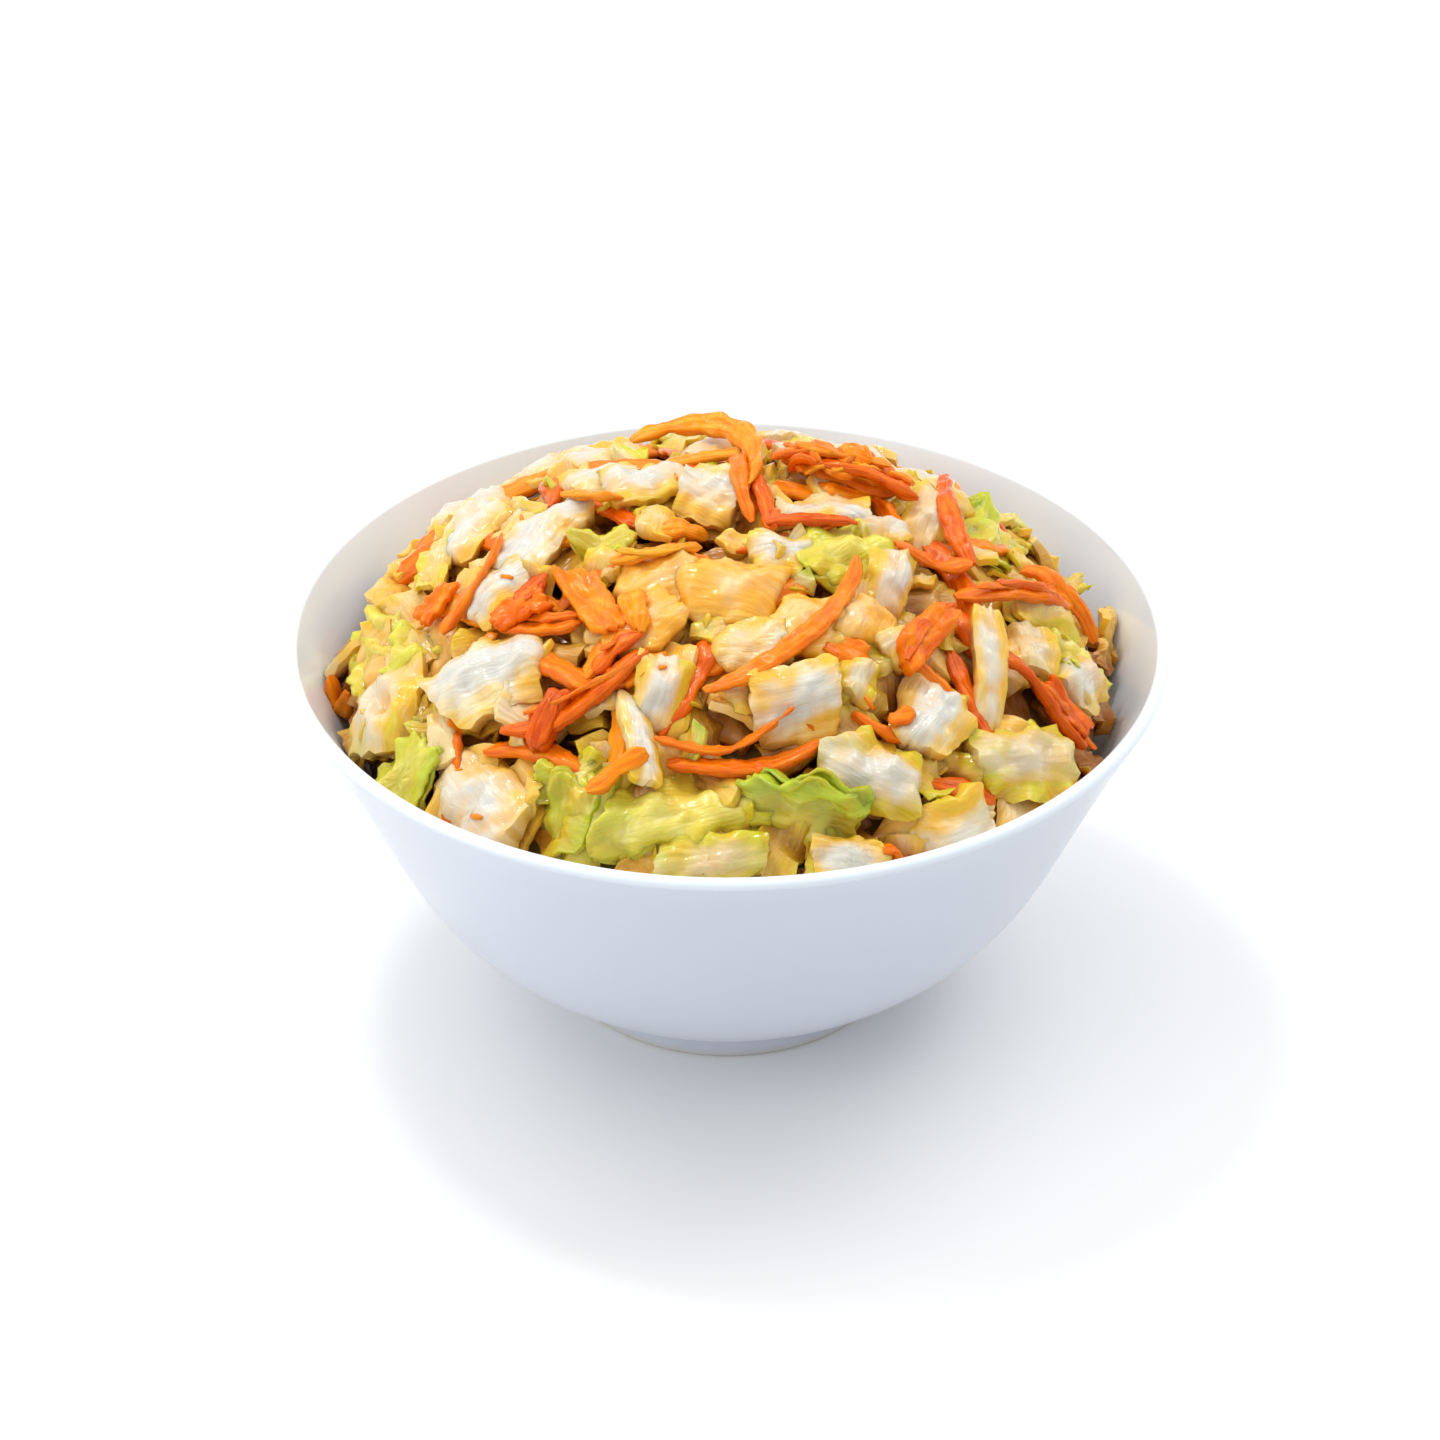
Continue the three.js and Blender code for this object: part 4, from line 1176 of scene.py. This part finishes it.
# Shredded carrot on top: the shreds that the photograph shows, each from where it starts to where it ends
# there, and one long shred that arches over the top of the heap and comes down towards the viewer.
LOOP = np.array([
    (-16, 23, 85.0), (-11, 25, 86.5), (-4, 25.5, 87.2), (1, 23, 87.8), (4, 17, 88.4), (4.6, 10, 88.8),
    (3, 2, 88.4),
])
LOOP_TONE, LOOP_SIZE, LOOP_EASE = 0.75, 1.0, 11
TANGLE_PLACE = (20, 12)
TANGLE_SPREAD = (12, 5)
TANGLE_SHREDS = 22
STRAND_APART = 2.2
shown_carrot = [
    # from, to, bend, tone, size, lift, strands
    ((-11, 18), (2, 16), -60, 0.8, 0.8, 1, 1),
    ((2, 14), (4, -3), -30, 0.5, 0.8, 1, 1),
    ((9, 15), (27, 9), -35, 0.55, 1.0, 0.5, 2),
    ((13, 10), (30, 4), 30, 0.3, 0.9, 0.5, 1),
    ((4, 7), (7, -9), 20, 0.25, 0.8, 0.5, 1),
    ((6, -8), (20, -6), 20, 0.2, 0.8, 0, 1),
    ((35, 18), (38, -7), -35, 0.3, 0.85, 1, 1),
    ((26, -9), (38, -8), 20, 0.45, 0.8, 0, 1),
    ((-3.5, -41), (20, -13.5), -72, 0.55, 0.85, 1.5, 1),
    ((-35, -21), (-22, -23), -12, 0.5, 0.9, 1, 2),
    ((-44, -17), (-35, -3), -50, 0.5, 0.85, 0.5, 1),
    ((-32, -20), (-28, -13), 0, 0.15, 0.8, 1, 1),
    ((-34, -40), (-12, -34), -40, 0.3, 1.0, 0.5, 2),
    ((-29, -44), (-25, -36), 10, 0.1, 0.9, 0, 2),
    ((-20, -34), (-13, -31), 20, 0.35, 0.8, 0.5, 2),
    ((-21, -53), (-12, -50), 0, 0.65, 0.9, 2.5, 1),
    ((-9, -48), (14, -45), -40, 0.4, 1.05, 1, 2),
    ((27, -33), (35, -18), 25, 0.3, 0.6, 1.5, 1),
    ((35, -14), (56, 0), -20, 0.45, 0.95, 0.5, 2),
    ((42, -10), (52, -5), 30, 0.3, 0.8, 0.5, 1),
    ((46, 1), (58, -4), 10, 0.5, 0.85, 0.5, 1),
    ((40, -24), (55, -27), 25, 0.2, 1.05, 0, 2),
    ((-63, -4), (-60, -8), 0, 0.6, 0.9, 0.5, 1),
    ((23, -58), (28, -56), 0, 0.45, 0.8, 0, 1),
    ((24, -41), (28, -40), 0, 0.5, 0.75, 1.5, 1),
    ((-18, -15), (-4, -13), -30, 0.85, 0.9, 1, 2),
    ((-26, 4), (-16, 1), 20, 0.75, 0.7, 0.5, 1),
    ((-15, -23), (-13, -31), 10, 0.75, 1.1, 0.5, 1),
]
knots = np.linspace(0, len(LOOP) - 1, 3 * PATH_POINTS)
loop_path = np.column_stack([np.interp(knots, np.arange(len(LOOP)), LOOP[:, axis]) for axis in range(3)])
for axis in range(3):
    held = np.pad(loop_path[:, axis], LOOP_EASE // 2, mode="edge")
    loop_path[:, axis] = np.convolve(held, np.ones(LOOP_EASE) / LOOP_EASE, "valid")
draw = np.random.default_rng(47)
shown_paths = [(loop_path, LOOP_TONE, LOOP_SIZE)]
for start, end, bend, tone, size, lift, strands in shown_carrot:
    for strand in range(strands):
        begin, finish = np.array(start, float), np.array(end, float)
        if strand:
            reach = finish - begin
            begin = begin + draw.uniform(0, 0.25) * reach + draw.uniform(-STRAND_APART, STRAND_APART, 2)
            finish = finish - draw.uniform(0, 0.25) * reach + draw.uniform(-STRAND_APART, STRAND_APART, 2)
            bend = bend + draw.uniform(-30, 30)
            tone = tone + draw.uniform(-0.2, 0.2)
            size = size * draw.uniform(0.35, 0.55)
        shown_paths.append((carrot_path(begin, finish, bend, lift), tone, size))

# A ragged tangle of short shreds behind the top
for i in range(TANGLE_SHREDS):
    middle = np.array(TANGLE_PLACE) + draw.normal(0, 1, 2) * TANGLE_SPREAD / 2
    heading = draw.uniform(-1.0, 1.0)
    arm = draw.uniform(2.5, 5.5) * np.array([math.cos(heading), math.sin(heading)])
    path = carrot_path(middle - arm, middle + arm, draw.uniform(-80, 80), draw.uniform(-0.5, 1.5))
    shown_paths.append((path, draw.uniform(0.35, 0.8), draw.uniform(0.45, 0.8)))
carrot_piece("carrot_top", shown_paths, 5)


# Carrot slices: the few broad flat cuts among the shreds, about as thick as a shred and one of them twice
# that, with rough torn ends. They are cut and laid like the cabbage, each in a single layer.
SLICE = {
    "thin": 1.6, "rib": 1.6, "curl": 10, "roll": 20, "crinkle": 0.3, "ripple": 0.3, "torn": 0.05,
    "soft": 0.35, "layers": 1, "folds": (),
}


def carrot_slice(x, y, length, width, turn, tone, **more):
    """A broad cut of carrot laid in its place, with the marks that its fibres follow."""
    piece = chopped(x, y, length, width, turn, **{**SLICE, **more})
    u, v = piece["uv"].T
    return {**piece, "tone": tone, "along": (u - u.min()) / 100, "around": (v - v.min()) / 2}


slices = [
    carrot_slice(-20.5, -22, 19, 7, 117, 0.6, lean=6, lift=1.0),
    carrot_slice(-31, -20, 10, 6, 20, 0.4, lean=10, lift=1.5),
    carrot_slice(30, -26, 17, 6, 62, 0.45, lean=12, thin=3, rib=3, lift=2, crinkle=0.12, torn=0.02),
    carrot_slice(-27, -40, 11, 7, 60, 0.15, lean=-20, lift=0.5),
    carrot_slice(-14, -35, 12, 6, 10, 0.5, lean=-10, lift=1.0),
    carrot_slice(18, -31, 8, 6, -20, 0.55, lift=0.5),
    carrot_slice(52, -24, 11, 6, -20, 0.25, lean=10, lift=0.5),
    carrot_slice(-45, -10, 9, 5, 50, 0.5, lean=20, lift=1.0),
]
slices_mesh = joined("carrot_slices", slices, ("tone", "along", "around"))
finished("carrot_slices", slices_mesh, carrot_paint)


# Carrot crumbs: slivers a millimetre or so long that broke off in the mixing and stuck to the wet cabbage.
# They are scattered over the pieces on top by a seeded rule, each a small faceted grain.
CRUMBS_PER_SQUARE_METRE = 900.0
CRUMB_SIZE = 1.3
CRUMB_TONE = 0.65
CRUMB_LEAST, CRUMB_MOST = 0.45, 1.5
FACING_UP = 0.2

scattering, given = shape_tree(
    "scattered",
    {
        "Density": CRUMBS_PER_SQUARE_METRE, "Size": CRUMB_SIZE * MM, "Slim": 0.3, "Flat": 0.3, "Rounding": 1,
        "Seed": 3,
    },
)
seed = given.outputs["Seed"]
facing = add_node(scattering, "ShaderNodeSeparateXYZ", {0: add_node(scattering, "GeometryNodeInputNormal")})
least = {0: facing.outputs["Z"], 1: FACING_UP}
upward = add_node(scattering, "FunctionNodeCompare", least, operation="GREATER_THAN")
spots = add_node(
    scattering,
    "GeometryNodeDistributePointsOnFaces",
    {"Mesh": given, "Selection": upward, "Density": given.outputs["Density"], "Seed": seed},
)
grain = add_node(
    scattering,
    "GeometryNodeMeshIcoSphere",
    {"Radius": given.outputs["Size"], "Subdivisions": given.outputs["Rounding"]},
)
squash = {0: 1.0, 1: given.outputs["Slim"], 2: given.outputs["Flat"]}
squash = add_node(scattering, "ShaderNodeCombineXYZ", squash)
flattened = add_node(scattering, "GeometryNodeTransform", {"Geometry": grain, "Scale": squash})
spin = add_node(
    scattering,
    "FunctionNodeRandomValue",
    {"Max": (0.0, 0.0, 2 * math.pi), "Seed": seed},
    data_type="FLOAT_VECTOR",
)
aligned = add_node(
    scattering,
    "FunctionNodeRotateRotation",
    {0: spots.outputs["Rotation"], 1: add_node(scattering, "FunctionNodeEulerToRotation", {0: spin})},
    rotation_space="LOCAL",
)
varied = add_node(scattering, "FunctionNodeRandomValue", {2: CRUMB_LEAST, 3: CRUMB_MOST, "Seed": seed})
placed = add_node(
    scattering,
    "GeometryNodeInstanceOnPoints",
    {"Points": spots, "Instance": flattened, "Rotation": aligned, "Scale": varied.outputs[1]},
)
end_tree(scattering, given, placed)

wet_cabbage = bpy.data.objects.new("carrot_crumbs", cabbage_top.data.copy())
scene.collection.objects.link(wet_cabbage)
crumbs_mesh = shaped(wet_cabbage, scattering, Material=carrot_paint)
crumb_tones = np.full(len(crumbs_mesh.vertices), CRUMB_TONE, np.float32)
crumbs_mesh.attributes.new("tone", "FLOAT", "POINT").data.foreach_set("value", crumb_tones)
finished("carrot_crumbs", crumbs_mesh, carrot_paint)
